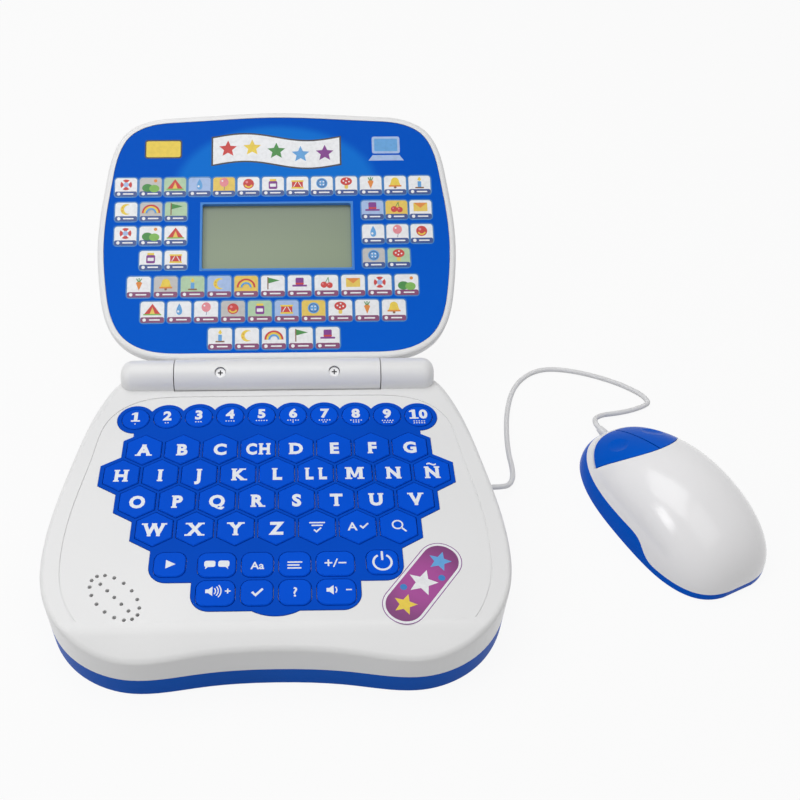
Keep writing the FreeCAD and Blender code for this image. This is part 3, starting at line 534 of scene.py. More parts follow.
# keypad legends
keypad = {"pitch": 18.0, "firstRowY": 27.0, "numberPitch": 15.34, "numberY": 46.6, "numberBow": 1.8,
          "top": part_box("key_demo")[1].z / mm, "letterTall": 6.3, "letterDrop": 0.5, "pair": 3.1,
          "numberTall": 5.4, "numberRise": 1.1, "digitPitch": 4.6, "tildeRise": 0.78}
rowPitch = keypad["pitch"] * math.sqrt(3) / 2
# each row's letters, its number from the back and how many keys its width holds
letterRows = {
    "a_to_g": (["A", "B", "C", "CH", "D", "E", "F", "G"], 0, 8),
    "h_to_n": (["H", "I", "J", "K", "L", "LL", "M", "N", "Ñ"], 1, 9),
    "o_to_v": (["O", "P", "Q", "R", "S", "T", "U", "V"], 2, 8),
    "w_to_z": (["W", "X", "Y", "Z"], 3, 7),
}
here = Matrix.Identity(4)
tildeShape = {"half": 2.2, "wave": 0.45, "halfThick": 0.45, "steps": 10}


def tilde(x, y):
    half, thick = tildeShape["half"], tildeShape["halfThick"]
    shares = [i / tildeShape["steps"] for i in range(tildeShape["steps"] + 1)]
    wave = [(x - half + 2 * half * t, y + tildeShape["wave"] * math.sin(2 * math.pi * t)) for t in shares]
    return [(px, py + thick) for px, py in wave] + [(px, py - thick) for px, py in reversed(wave)]


def keyLegend(key):
    return Print("legend_" + key, "key_%s_body" % key, "key_blue", here)


for rowName, (letters, row, full) in letterRows.items():
    legends = Print("legends_" + rowName, "letter_keys_%s_body" % rowName, "key_blue", here)
    tall, level = keypad["letterTall"], keypad["top"]
    for i, sign in enumerate(letters):
        x = (i - (full - 1) / 2) * keypad["pitch"]
        y = keypad["firstRowY"] - row * rowPitch - keypad["letterDrop"]
        half = keypad["pair"] * (len(sign) - 1)
        wide = lettering["pairWide"] if len(sign) > 1 else lettering["wide"]
        for place, glyph in enumerate(sign):
            glyphX = x + half * (2 * place - 1)
            plain = "N" if glyph == "Ñ" else glyph
            if plain in drawnSigns:
                drawnSign(legends, plain, glyphX, y, tall, level)
                continue
            letter(legends, plain, glyphX, y, tall, level, plain not in lettering["round"], wide)
            if plain != glyph:
                legends.polygon(tilde(glyphX, y + keypad["tildeRise"] * tall), level, "legend")
    legends.finish()

pips = {"radius": 0.36, "pitch": 1.25, "row": 5, "below": 3.5, "sides": 10}
for i in range(10):
    x = (i - 4.5) * keypad["numberPitch"]
    y = keypad["numberY"] + keypad["numberBow"] * (1 - (x / (5 * keypad["numberPitch"])) ** 2)
    legends = keyLegend("number_%d" % (i + 1))
    digits = str(i + 1)
    digitY = y + keypad["numberRise"]
    for place, digit in enumerate(digits):
        digitX = x + keypad["digitPitch"] * (place - (len(digits) - 1) / 2)
        if digit in drawnSigns:
            drawnSign(legends, digit, digitX, digitY, keypad["numberTall"], keypad["top"])
        else:
            letter(legends, digit, digitX, digitY, keypad["numberTall"], keypad["top"], serifs=False)
    for dot in range(i + 1):  # as many dots as the number
        line, column = divmod(dot, pips["row"])
        inLine = min(pips["row"], i + 1 - line * pips["row"])
        dotX = x + (column - (inLine - 1) / 2) * pips["pitch"]
        dotY = y - pips["below"] - line * pips["pitch"]
        legends.polygon(ring(dotX, dotY, pips["radius"], pips["sides"]), keypad["top"], "legend")
    legends.finish()


def bar(x, y, long, thick=0.7, turn=0.0):
    return roundedBox(x, y, long, thick, 0.3 * thick, turn)


def tick(x, y, size):
    corners = ((-2.4, 0.2), (-1.6, 0.9), (-0.6, -0.4), (2.2, 2.4), (2.8, 1.7), (-0.5, -1.8))
    return [(x + size * px, y + size * py) for px, py in corners]


def bubble(x, y, side):
    tail = [(x - 0.6 * side, y - 1.5), (x - 2.0 * side, y - 2.7), (x - 1.7 * side, y - 1.2)]
    return [roundedBox(x, y, 4.8, 3.2, 1.0), tail]


# plain signs for the function keys, about the middle of each key
keySigns = {
    "word_test": [bar(0, 2.3, 7.0), bar(0, 0.8, 5.0), tick(0, -1.9, 0.7)],
    "spelling_test": [tick(2.6, 0, 0.8)],
    "find_letter": [bar(2.2, -1.9, 3.2, 0.8, -45)] + arcBand(-0.4, 0.7, 2.2, 0.7, 0, 360, 24),
    "demo": [[(-1.7, -2.2), (2.5, 0.0), (-1.7, 2.2)]],
    "language": bubble(-3.0, 0.4, 1) + bubble(3.0, 0.4, -1),
    "letters": [],
    "words": [bar(0, 1.5, 6.4), bar(-0.6, 0.0, 5.2), bar(-0.2, -1.5, 6.0)],
    "ask": [bar(-3.0, 0, 3.4), bar(-3.0, 0, 3.4, 0.7, 90), bar(0, 0, 4.6, 0.6, 68), bar(3.0, 0, 3.4)],
    "spelling": [tick(0, -0.3, 1.0)],
    "question": [],
}
# a sign's letters, how far they stand to the right, and their height
signLetters = {"spelling_test": ("A", -2.4, 4.2), "letters": ("Aa", 0.0, 3.6), "question": ("?", 0.0, 4.4)}
hexY = keypad["firstRowY"] - 3 * rowPitch
signPlaces = {
    "word_test": (keypad["pitch"], hexY), "spelling_test": (2 * keypad["pitch"], hexY),
    "find_letter": (3 * keypad["pitch"], hexY), "demo": (-45.6, -38.7), "language": (-25.4, -39.2),
    "letters": (-8.0, -39.9), "words": (8.0, -39.9), "ask": (25.4, -39.0),
    "spelling": (-8.0, -53.4), "question": (8.0, -53.4),
}
for name, (x, y) in signPlaces.items():
    legends = keyLegend(name)
    for step, points in enumerate(keySigns[name]):
        thick = inkThick + lettering["lift"] * (step % 3)
        legends.polygon([(x + px, y + py) for px, py in points], keypad["top"], "legend", thick)
    if name in signLetters:
        sign, offset, tall = signLetters[name]
        letter(legends, sign, x + offset, y, tall, keypad["top"], serifs=False, bold=lettering["signBold"])
    legends.finish()

sound = {"x": 25.4, "y": -52.6, "speakerLeft": 0.8, "waveFirst": 2.1, "waveStep": 1.15, "waveThick": 0.5,
         "waveTurn": 42, "waveLeft": 1.2, "markRight": 5.2, "markLong": 2.4, "markThick": 0.6,
         "markRound": 0.1, "crossLift": 0.01}
speakerBox = upright(-3.4, -2.2, -0.9, 0.9)
speakerCone = [(-2.2, -0.9), (-0.4, -2.3), (-0.4, 2.3), (-2.2, 0.9)]


def speakerSign(printing, x, y, waves):
    level, turn = keypad["top"], sound["waveTurn"]
    for shape in (speakerBox, speakerCone):
        printing.polygon([(x + px, y + py) for px, py in shape], level, "legend")
    for i in range(waves):
        radius = sound["waveFirst"] + sound["waveStep"] * i
        for quad in arcBand(x - sound["waveLeft"], y, radius, sound["waveThick"], -turn, turn, 10):
            printing.polygon(quad, level, "legend")


for name, x, waves in (("volume_up", -sound["x"], 3), ("volume_down", sound["x"], 1)):
    legends = keyLegend(name)
    speakerSign(legends, x - sound["speakerLeft"], sound["y"], waves)
    markX, long, thick = x + sound["markRight"], sound["markLong"], sound["markThick"]
    minus = roundedBox(markX, sound["y"], long, thick, sound["markRound"])
    legends.polygon(minus, keypad["top"], "legend")
    if name == "volume_up":
        stroke = roundedBox(markX, sound["y"], thick, long, sound["markRound"])
        legends.polygon(stroke, keypad["top"] + sound["crossLift"], "legend")
    legends.finish()

power = {"x": 45.6, "y": -38.9, "radius": 3.9, "thick": 0.95, "from": 118, "to": 422, "strokeY": -35.6,
         "strokeTall": 4.6, "strokeRound": 0.3}
legends = keyLegend("power")
arc = arcBand(power["x"], power["y"], power["radius"], power["thick"], power["from"], power["to"], 36)
for quad in arc:
    legends.polygon(quad, keypad["top"], "legend")
stroke = roundedBox(power["x"], power["strokeY"], power["thick"], power["strokeTall"], power["strokeRound"])
legends.polygon(stroke, keypad["top"], "legend")
legends.finish()
print("keypad legends made")

# picture tiles on the lid, set out by Geometry Nodes
# each row's count, its first and last middle, its height up the lid and its group
tileRows = [
    (13, -80.1, 76.3, 105.1, "upper"), (3, -79.6, -53.3, 90.9, "upper"), (3, 50.8, 76.3, 90.9, "upper"),
    (3, -79.6, -53.3, 77.2, "upper"), (3, 50.8, 76.4, 77.2, "upper"), (2, -66.0, -52.9, 63.4, "upper"),
    (2, 50.7, 63.8, 63.7, "upper"), (11, -71.7, 67.3, 48.6, "lower"), (10, -64.4, 60.3, 34.8, "lower"),
    (5, -29.4, 25.8, 20.1, "lower"),
]
tiles = {"upper": {"wide": 11.6, "tall": 10.6, "strip": 2.9, "ink": "stripBlue"},
         "lower": {"wide": 12.2, "tall": 11.4, "strip": 3.0, "ink": "stripMaroon"},
         "corner": 1.5, "cornerSteps": 5, "halo": 0.7, "level": -0.25, "haloThick": 0.02, "thick": 0.05,
         "layer": 0.02, "stripTrim": 0.02, "stripRound": 0.9, "dot": 1.8, "dotRound": 0.88, "dotIn": 2.0,
         "lineWide": 5.6, "lineTall": 0.75, "lineRound": 0.3, "lineRight": 1.2, "groundStep": 5,
         "pictureStep": 7, "pictureFirst": 3, "pictureLift": 0.006}
groundCycle = ["tile", "tile", "tileBlue", "tile", "tile", "tileGrey", "tile", "tileYellow", "tile", "tile",
               "tileGreen", "tile", "tile"]
tilePlaces = []
for count, first, last, up, group in tileRows:
    for i in range(count):
        tilePlaces.append((first + (last - first) * i / (count - 1), up, group))


def plateTree():
    # rounded plates on every point, of one size and one ink
    tree = bpy.data.node_groups.new("roundedPlates", "GeometryNodeTree")
    face = tree.interface
    face.new_socket("Points", in_out="INPUT", socket_type="NodeSocketGeometry")
    for name in ("Wide", "Tall", "Corner", "Thick"):
        face.new_socket(name, in_out="INPUT", socket_type="NodeSocketFloat")
    face.new_socket("Ink", in_out="INPUT", socket_type="NodeSocketMaterial")
    face.new_socket("Plates", in_out="OUTPUT", socket_type="NodeSocketGeometry")
    new, link = tree.nodes.new, tree.links.new
    given, result = new("NodeGroupInput"), new("NodeGroupOutput")
    outline = new("GeometryNodeCurvePrimitiveQuadrilateral")
    fillet, fill = new("GeometryNodeFilletCurve"), new("GeometryNodeFillCurve")
    extrude, plates = new("GeometryNodeExtrudeMesh"), new("GeometryNodeInstanceOnPoints")
    realize, paint = new("GeometryNodeRealizeInstances"), new("GeometryNodeSetMaterial")
    fillet.mode = "POLY"
    fillet.inputs["Count"].default_value = tiles["cornerSteps"]
    fill.mode = "NGONS"
    extrude.inputs["Individual"].default_value = False
    link(given.outputs["Wide"], outline.inputs["Width"])
    link(given.outputs["Tall"], outline.inputs["Height"])
    link(outline.outputs[0], fillet.inputs["Curve"])
    link(given.outputs["Corner"], fillet.inputs["Radius"])
    link(fillet.outputs[0], fill.inputs["Curve"])
    link(fill.outputs[0], extrude.inputs["Mesh"])
    link(given.outputs["Thick"], extrude.inputs["Offset Scale"])
    link(given.outputs["Points"], plates.inputs["Points"])
    link(extrude.outputs[0], plates.inputs["Instance"])
    link(plates.outputs[0], realize.inputs[0])
    link(realize.outputs[0], paint.inputs["Geometry"])
    link(given.outputs["Ink"], paint.inputs["Material"])
    link(paint.outputs[0], result.inputs[0])
    return tree


plateNodes = plateTree()


def plates(name, body, slotName, toWorld, places, wide, tall, corner, thick, inkName):
    sizes = {"Wide": wide, "Tall": tall, "Corner": corner, "Thick": thick, "Ink": finishes[inkName]}
    mesh = bpy.data.meshes.new(name)
    mesh.from_pydata([tuple(p) for p in places], [], [])
    helper = addObject(name + "Points", mesh)
    modifier = helper.modifiers.new("plates", "NODES")
    modifier.node_group = plateNodes
    for item in plateNodes.interface.items_tree:
        if item.in_out == "INPUT" and item.name in sizes:
            modifier[item.identifier] = sizes[item.name]
    helper.update_tag()
    made = plainMesh(helper)
    made.transform(toWorld @ millimetres)
    piece = addObject(name, made)
    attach(piece, body)


def lidPlates(name, places, *size):
    plates(name, "lid", "panel_blue", lidFrame, places, *size)


for group in ("upper", "lower"):
    size = tiles[group]
    wide, tall, thick = size["wide"], size["tall"], tiles["thick"]
    members = [(x, up, tiles["level"]) for x, up, g in tilePlaces if g == group]
    lidPlates("tile_halos_" + group, members, wide + 2 * tiles["halo"], tall + 2 * tiles["halo"],
              tiles["corner"] + tiles["halo"], tiles["haloThick"], "halo")
    grounds = [groundCycle[tiles["groundStep"] * i % len(groundCycle)] for i in range(len(members))]
    for ground in dict.fromkeys(groundCycle):
        chosen = [place for place, inkName in zip(members, grounds) if inkName == ground]
        if chosen:
            lidPlates("tile_%s_%s" % (group, ground), chosen, wide, tall, tiles["corner"], thick, ground)
    strips = [(x, up - tall / 2 + size["strip"] / 2, level) for x, up, level in members]
    lidPlates("tile_strips_" + group, strips, wide - tiles["stripTrim"], size["strip"], tiles["stripRound"],
              thick + tiles["layer"], size["ink"])
    dots = [(x - wide / 2 + tiles["dotIn"], y, z) for x, y, z in strips]
    lidPlates("tile_dots_" + group, dots, tiles["dot"], tiles["dot"], tiles["dotRound"],
              thick + 2 * tiles["layer"], "tile")
    lines = [(x + tiles["lineRight"], y, z) for x, y, z in strips]
    lidPlates("tile_lines_" + group, lines, tiles["lineWide"], tiles["lineTall"], tiles["lineRound"],
              thick + 2 * tiles["layer"], "tile")


# small plain pictures for the tiles, drawn about their middle in millimetres
def dropShape():
    turns = [2 * math.pi * i / 24 for i in range(24)]
    return [(2.0 * math.sin(t) * math.sin(t / 2), 3.1 * math.cos(t)) for t in turns]


def crescent():
    outer = [math.radians(50 + 260 * i / 20) for i in range(21)]
    inner = [math.radians(285 - 210 * i / 16) for i in range(17)]
    bow = [(3.1 * math.cos(t), 3.1 * math.sin(t)) for t in outer]
    return bow + [(1.3 + 2.45 * math.cos(t), 2.45 * math.sin(t)) for t in inner]


def spots(places, radius):
    return [ring(x, y, radius, 12) for x, y in places]


def inked(inkName, *shapes):
    return [(points, inkName) for points in shapes]


def motif(*layers):
    return [layer for inks in layers for layer in inks]


motifs = {
    "ball": motif(
        inked("red", ring(0, 0, 2.9)),
        inked("yellow", *arcBand(0, 0, 1.9, 0.8, 200, 340, 10)),
        inked("pink", ring(-0.9, 1.0, 0.7))),
    "hat": motif(
        inked("purple", roundedBox(0, 0.9, 4.2, 4.0, 0.6), bar(0, -1.5, 7.6, 1.0)),
        inked("red", bar(0, -0.4, 4.3, 0.9))),
    "button": motif(
        inked("skyBlue", ring(0, 0, 3.0)),
        inked("stripBlue", *arcBand(0, 0, 2.2, 0.35, 0, 360, 20)),
        inked("tile", *spots([(-0.8, -0.8), (0.8, -0.8), (-0.8, 0.8), (0.8, 0.8)], 0.4))),
    "floatRing": motif(
        inked("red", ring(0, 0, 3.1)),
        inked("tile", bar(0, 0, 6.2, 1.1, 45), bar(0, 0, 6.2, 1.1, 135)),
        inked("tileBlue", ring(0, 0, 1.4))),
    "bell": motif(
        inked("yellow", ring(0, 0.9, 2.1), [(-2.1, 0.9), (-3.0, -1.9), (3.0, -1.9), (2.1, 0.9)]),
        inked("brown", ring(0, -2.7, 0.7)),
        inked("orange", bar(0, -1.9, 6.8, 0.9))),
    "waterDrop": motif(
        inked("skyBlue", dropShape()),
        inked("tile", ring(-0.5, -1.2, 0.6))),
    "rainbow": motif(
        inked("red", *arcBand(0, -2.2, 4.4, 1.0, 0, 180, 14)),
        inked("yellow", *arcBand(0, -2.2, 3.4, 1.0, 0, 180, 12)),
        inked("skyBlue", *arcBand(0, -2.2, 2.4, 1.0, 0, 180, 10))),
    "jar": motif(
        inked("purple", roundedBox(0, -0.8, 4.6, 4.6, 0.8)),
        inked("yellow", roundedBox(0, 2.1, 3.6, 1.2, 0.4)),
        inked("tile", roundedBox(0, -0.9, 3.2, 1.8, 0.3))),
    "cherries": motif(
        inked("green", bar(0.2, 1.4, 3.6, 0.35, 60), bar(1.2, 1.2, 3.6, 0.35, 100)),
        inked("red", ring(-1.3, -1.1, 1.7), ring(1.7, -1.4, 1.6)),
        inked("pink", *spots([(-1.8, -0.6), (1.2, -0.9)], 0.4))),
    "mushroom": motif(
        inked("tileYellow", roundedBox(0, -1.7, 1.9, 3.2, 0.6)),
        inked("red", ring(0, 1.0, 3.1, 28, 0.75)),
        inked("tile", *spots([(-1.5, 1.2), (0.2, 2.2), (1.5, 0.8), (-0.2, 0.2)], 0.45))),
    "hills": motif(
        inked("green", ring(-1.6, -1.9, 2.9, 28, 0.8)),
        inked("leaf", ring(2.0, -2.3, 2.7, 28, 0.8)),
        inked("orange", ring(2.6, 2.2, 0.9))),
    "candle": motif(
        inked("skyBlue", roundedBox(0, -1.1, 1.9, 3.6, 0.3)),
        inked("yellow", [(0, 3.5), (1.0, 1.7), (0, 0.8), (-1.0, 1.7)]),
        inked("brown", bar(0, -3.0, 4.6, 0.8))),
    "balloon": motif(
        inked("stripBlue", bar(0.2, -2.2, 2.6, 0.25, 80)),
        inked("pink", ring(0, 1.0, 2.4, 28, 1.08)),
        inked("tile", ring(-0.9, 1.8, 0.5))),
    "pennant": motif(
        inked("brown", bar(-2.6, 0, 6.8, 0.6, 90)),
        inked("green", [(-2.3, 3.1), (3.6, 1.5), (-2.3, -0.1)])),
    "drum": motif(
        inked("red", roundedBox(0, -0.6, 5.8, 4.0, 0.4)),
        inked("yellow", bar(0, 1.4, 6.6, 0.9), bar(0, -2.6, 6.6, 0.9)),
        inked("tile", bar(-1.3, -0.6, 3.2, 0.35, 60), bar(1.3, -0.6, 3.2, 0.35, 120))),
    "envelope": motif(
        inked("tileYellow", roundedBox(0, 0, 7.4, 4.9, 0.4)),
        inked("orange", [(-3.5, 2.4), (0, -0.5), (3.5, 2.4)])),
    "carrot": motif(
        inked("green", bar(0, 2.3, 2.4, 0.5, 90), bar(-0.8, 2.2, 2.2, 0.5, 118)),
        inked("green", bar(0.8, 2.2, 2.2, 0.5, 62)),
        inked("orange", [(-1.6, 0.7), (-0.9, 1.4), (0.9, 1.4), (1.6, 0.7), (0, -3.4)])),
    "tent": motif(
        inked("red", [(-4.2, -2.6), (4.2, -2.6), (0, 3.1)]),
        inked("tileYellow", [(-1.4, -2.6), (1.4, -2.6), (0, 1.2)]),
        inked("leaf", bar(0, -2.8, 9.2, 0.7))),
    "moon": motif(
        inked("yellow", crescent()),
        inked("orange", *spots([(-1.9, 0.9), (-2.1, -0.8)], 0.35))),
}
pictures = list(motifs.values())
tilePictures = Print("tile_pictures", "lid", "panel_blue", lidFrame)
for i, (x, up, group) in enumerate(tilePlaces):
    picture = pictures[(tiles["pictureStep"] * i + tiles["pictureFirst"]) % len(pictures)]
    for step, (points, inkName) in enumerate(picture):
        placed = [(x + px, up + tiles[group]["strip"] / 2 + py) for px, py in points]
        thick = tiles["layer"] + tiles["pictureLift"] * step
        tilePictures.polygon(placed, tiles["level"] + tiles["thick"], inkName, thick)
tilePictures.finish()

# heading place: a plain white ribbon with stars, a plain yellow plate and a small screen sign
ribbon = {"half": 34.0, "top": 133.5, "low": 118.0, "wave": 2.2, "steps": 24, "edge": 0.9,
          "star": 5.0, "starInner": 2.3, "starPitch": 13.0, "starUp": 125.7,
          "starInks": ("red", "yellow", "green", "skyBlue", "purple")}
# each plate's middle, width, height, corner, ink and thickness
headingPlates = [
    (-60.7, 127.3, 20.0, 11.0, 1.6, "black", 0.02), (-60.7, 127.3, 18.4, 9.4, 1.0, "yellow", 0.04),
    (59.0, 128.8, 15.0, 10.0, 1.2, "tileBlue", 0.02), (59.0, 128.8, 12.4, 7.4, 0.6, "skyBlue", 0.04),
]
screenFoot = [(49.5, 119.6), (68.5, 119.6), (66.2, 122.8), (51.8, 122.8)]
heading = Print("heading_ornament", "lid", "panel_blue", lidFrame)


def ribbonWave(x):
    return ribbon["wave"] * math.sin(math.pi * (x + ribbon["half"]) / ribbon["half"])


ribbonLast = ribbon["steps"] - 1
ribbonLayers = [(ribbon["edge"], "black", tiles["layer"]), (0.0, "tile", 2 * tiles["layer"])]
ribbonX = [ribbon["half"] * (2 * i / ribbon["steps"] - 1) for i in range(ribbon["steps"] + 1)]
for i, (left, right) in enumerate(zip(ribbonX, ribbonX[1:])):
    for grow, inkName, thick in ribbonLayers:
        leftEnd = left - grow if i == 0 else left
        rightEnd = right + grow if i == ribbonLast else right
        top, low = ribbon["top"] + grow, ribbon["low"] - grow
        heading.polygon([
            (leftEnd, top + ribbonWave(left)), (rightEnd, top + ribbonWave(right)),
            (rightEnd, low + ribbonWave(right)), (leftEnd, low + ribbonWave(left)),
        ], tiles["level"], inkName, thick)
for i, inkName in enumerate(ribbon["starInks"]):
    x = ribbon["starPitch"] * (i - 2)
    star = starPoints(x, ribbon["starUp"] + ribbonWave(x), ribbon["star"], ribbon["starInner"])
    heading.polygon(star, tiles["level"] + 2 * tiles["layer"], inkName, tiles["layer"])
for *shape, inkName, thick in headingPlates:
    heading.polygon(roundedBox(*shape), tiles["level"], inkName, thick)
heading.polygon(screenFoot, tiles["level"], "tileBlue")
heading.finish()
print("lid panel made:", len(tilePlaces), "tiles")

# sticker on the right front of the base: a plum plate with a pale edge, three plain stars and two blue dots
decal = {"turn": 52.0, "long": 46.0, "wide": 19.0, "corner": 9.2, "line": 0.35, "edge": 1.1, "thick": 0.02,
         "layer": 0.012, "starThick": 0.06, "starInner": 0.45, "dot": 1.5, "dotThick": 0.055,
         "top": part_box("base_top_cover")[1].z / mm}
# each star's place along, size and ink, and each dot's place along and across
decalStars = [(-13.5, 5.2, "yellow"), (0.0, 6.6, "tile"), (13.5, 5.2, "skyBlue")]
decalDots = [(-6.8, 5.2), (6.8, -5.2)]


def decalPoint(along, across):
    c, s = math.cos(math.radians(decal["turn"])), math.sin(math.radians(decal["turn"]))
    return (decalPlace[0] + along * c - across * s, decalPlace[1] + along * s + across * c)


sticker = Print("base_decal", "base", "white_shell", here)
decalEdges = [("purple", 0.0), ("tile", decal["line"]), ("plum", decal["line"] + decal["edge"])]
for step, (inkName, margin) in enumerate(decalEdges):
    long, wide = decal["long"] - 2 * margin, decal["wide"] - 2 * margin
    plate = roundedBox(*decalPlace, long, wide, decal["corner"] - margin, decal["turn"], 12)
    sticker.polygon(plate, decal["top"], inkName, decal["thick"] + decal["layer"] * step)
for along, size, inkName in decalStars:
    star = starPoints(*decalPoint(along, 0.0), size, decal["starInner"] * size, 5, decal["turn"] + 90)
    sticker.polygon(star, decal["top"], inkName, decal["starThick"])
for along, across in decalDots:
    dot = ring(*decalPoint(along, across), decal["dot"])
    sticker.polygon(dot, decal["top"], "decalBlue", decal["dotThick"])
sticker.finish()

# cross recesses of the screws, drawn as thin black plates on the heads: painted shade for the dark hollow
# of each recess
cross = {"long": 2.6, "wide": 0.7, "corner": 0.12, "thick": 0.03, "weld": 0.002, "flat": 0.02}


def crossShadePlates(name, body, toWorld, places):
    long, wide, finish = cross["long"], cross["wide"], (cross["corner"], cross["thick"], "black")
    # each black plate is painted shade in a screw head's cross recess
    plates(name + "_a", body, "steel", toWorld, places, long, wide, *finish)
    plates(name + "_b", body, "steel", toWorld, places, wide, long, *finish)


def headPlaces(name, toWorld):
    # the middle of each head's face, in a frame whose +Z is the way that the heads face
    bm = bmesh.new()
    bm.from_mesh(nodes[name].data)
    bm.transform((toWorld @ millimetres).inverted() @ nodes[name].matrix_world)
    bmesh.ops.remove_doubles(bm, verts=bm.verts, dist=cross["weld"])
    met, places = set(), []
    for first in bm.verts:  # in the mesh's own order, so every run gives the same
        if first in met:
            continue
        met.add(first)
        group, front = [], [first]
        while front:
            vert = front.pop()
            group.append(vert.co.copy())
            near = [edge.other_vert(vert) for edge in vert.link_edges]
            fresh = [other for other in near if other not in met]
            met.update(fresh)
            front += fresh
        top = max(co.z for co in group)
        rim = [co for co in group if co.z > top - cross["flat"]]
        places.append((sum(co.x for co in rim) / len(rim), sum(co.y for co in rim) / len(rim), top))
    bm.free()
    return places


facingDown = Matrix.Rotation(math.pi, 4, "X")
screwFaces = {"hinge_cover_screws": ("lid", lidFrame), "lid_screws": ("lid", lidFrame @ facingDown),
              "case_screws": ("base", facingDown), "battery_door_screw": ("base", facingDown),
              "mouse_screws": ("mouse", facingDown)}
for name, (body, toWorld) in screwFaces.items():
    crossShadePlates(name + "_cross_shade", body, toWorld, headPlaces(name, toWorld))

# the base's front: a margin that slopes down to the edge, and a tray wall that is flush with the cover
baseFront = {"split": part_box("base_top_cover")[0].z / mm, "top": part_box("base_top_cover")[1].z / mm,
             "slopeFrom": -66.3, "reach": 15.7, "drop": 5.2, "ease": 0.35, "cuts": 24, "sharp": 32.0,
             "level": 0.985, "edgeRound": 5.0, "cutBelow": 1.0, "crisp": 0.45, "crispFrom": 60.0,
             "crispFull": 30.0, "weld": 0.001, "near": 0.01, "roundNear": 0.03, "wallTilt": 0.1}
skirt = {"top": 11.9, "round": 1.0, "steps": 4, "band": 0.5, "draft": 2.0, "inset": 1.0, "sunk": 0.25}


def nodeCopy(name):
    # a node's mesh with its triangles joined, in millimetres
    bm = bmesh.new()
    bm.from_mesh(nodes[name].data)
    bm.transform(millimetres.inverted() @ nodes[name].matrix_world)
    bmesh.ops.remove_doubles(bm, verts=bm.verts, dist=baseFront["weld"])
    return bm


def shellPiece(name, bm, finishName, body):
    mesh = bpy.data.meshes.new(name)
    bm.transform(millimetres)
    bm.to_mesh(mesh)
    bm.free()
    mesh.materials.append(finishes[finishName])
    mesh.shade_smooth()
    mesh.set_sharp_from_angle(angle=math.radians(baseFront["sharp"]))
    for face in mesh.polygons:  # level faces stay flat
        face.use_smooth = abs(face.normal.z) < baseFront["level"]
    piece = addObject(name, mesh)
    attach(piece, body)
    return piece


def coverRim():
    # the cover's lower outline, walked from edge to edge
    bm = nodeCopy("base_top_cover")
    after = {}
    for edge in bm.edges:
        if max(v.co.z for v in edge.verts) > baseFront["split"] + baseFront["near"]:
            continue
        walls = [face for face in edge.link_faces if abs(face.normal.z) < baseFront["wallTilt"]]
        if len(walls) != 1 or len(edge.link_faces) != 2:
            continue
        middle = (edge.verts[0].co + edge.verts[1].co) / 2
        if walls[0].normal.x * middle.x + walls[0].normal.y * middle.y <= 0:
            continue
        for vert in edge.verts:
            after.setdefault(vert.index, []).append(edge.other_vert(vert).index)
    bm.verts.ensure_lookup_table()
    first = max(after, key=lambda i: bm.verts[i].co.x)
    loop, last = [first], None
    while True:
        ahead = [i for i in after[loop[-1]] if i != last]
        last = loop[-1]
        if ahead[0] == first or len(loop) > len(after):
            break
        loop.append(ahead[0])
    points = [(bm.verts[i].co.x, bm.verts[i].co.y) for i in loop]
    bm.free()
    area = sum(a[0] * b[1] - b[0] * a[1] for a, b in zip(points, points[1:] + points[:1]))
    return points if area > 0 else points[::-1]


def within(value):
    # held between 0 and 1
    return min(max(value, 0.0), 1.0)


def nearest(points, place):
    # the nearest point of a closed outline
    best = None
    for a, b in zip(points, points[1:] + points[:1]):
        start, run = Vector(a), Vector(b) - Vector(a)
        share = within((place - start).dot(run) / run.length_squared)
        spot = start + share * run
        if best is None or (place - spot).length < (place - best).length:
            best = spot
    return best


def eased(t):
    ease = baseFront["ease"]
    fall = t * t / (2 * ease) if t < ease else t - ease / 2
    return fall / (1 - ease / 2)


def slopedCover(outline):
    bm = nodeCopy("base_top_cover")
    top, split, edgeRound = baseFront["top"], baseFront["split"], baseFront["edgeRound"]
    spacing = baseFront["reach"] / baseFront["cuts"]
    cuts = [((0, baseFront["slopeFrom"] - i * spacing, 0), (0, 1, 0)) for i in range(baseFront["cuts"])]
    cuts.append(((0, 0, top - edgeRound - baseFront["cutBelow"]), (0, 0, 1)))
    for place, normal in cuts:
        everything = bm.verts[:] + bm.edges[:] + bm.faces[:]
        bmesh.ops.bisect_plane(bm, geom=everything, plane_co=place, plane_no=normal)
    for vert in bm.verts:
        place = Vector(vert.co.xy)
        depth = top - vert.co.z
        edge = nearest(outline, place) if depth < edgeRound + baseFront["near"] else None
        if edge is not None and (place - edge).length < edgeRound + baseFront["roundNear"]:
            # a tighter round on the top edge
            much = (baseFront["crispFrom"] - place.y) / (baseFront["crispFrom"] - baseFront["crispFull"])
            keep = 1 - (1 - baseFront["crisp"]) * within(much)
            place = edge + (place - edge) * keep
            depth *= keep
            vert.co = (*place, top - depth)
        along = within((baseFront["slopeFrom"] - place.y) / baseFront["reach"])
        share = max((vert.co.z - split) / (top - split), 0.0)
        vert.co.z -= baseFront["drop"] * eased(along) * share
    return shellPiece("base_cover_shell", bm, "whiteShell", "base")


def inset(points, amount):
    moved = []
    for i, (x, y) in enumerate(points):
        back, ahead = points[i - 1], points[(i + 1) % len(points)]
        run = Vector((ahead[0] - back[0], ahead[1] - back[1])).normalized()
        moved.append((x - run.y * amount, y + run.x * amount))
    return moved


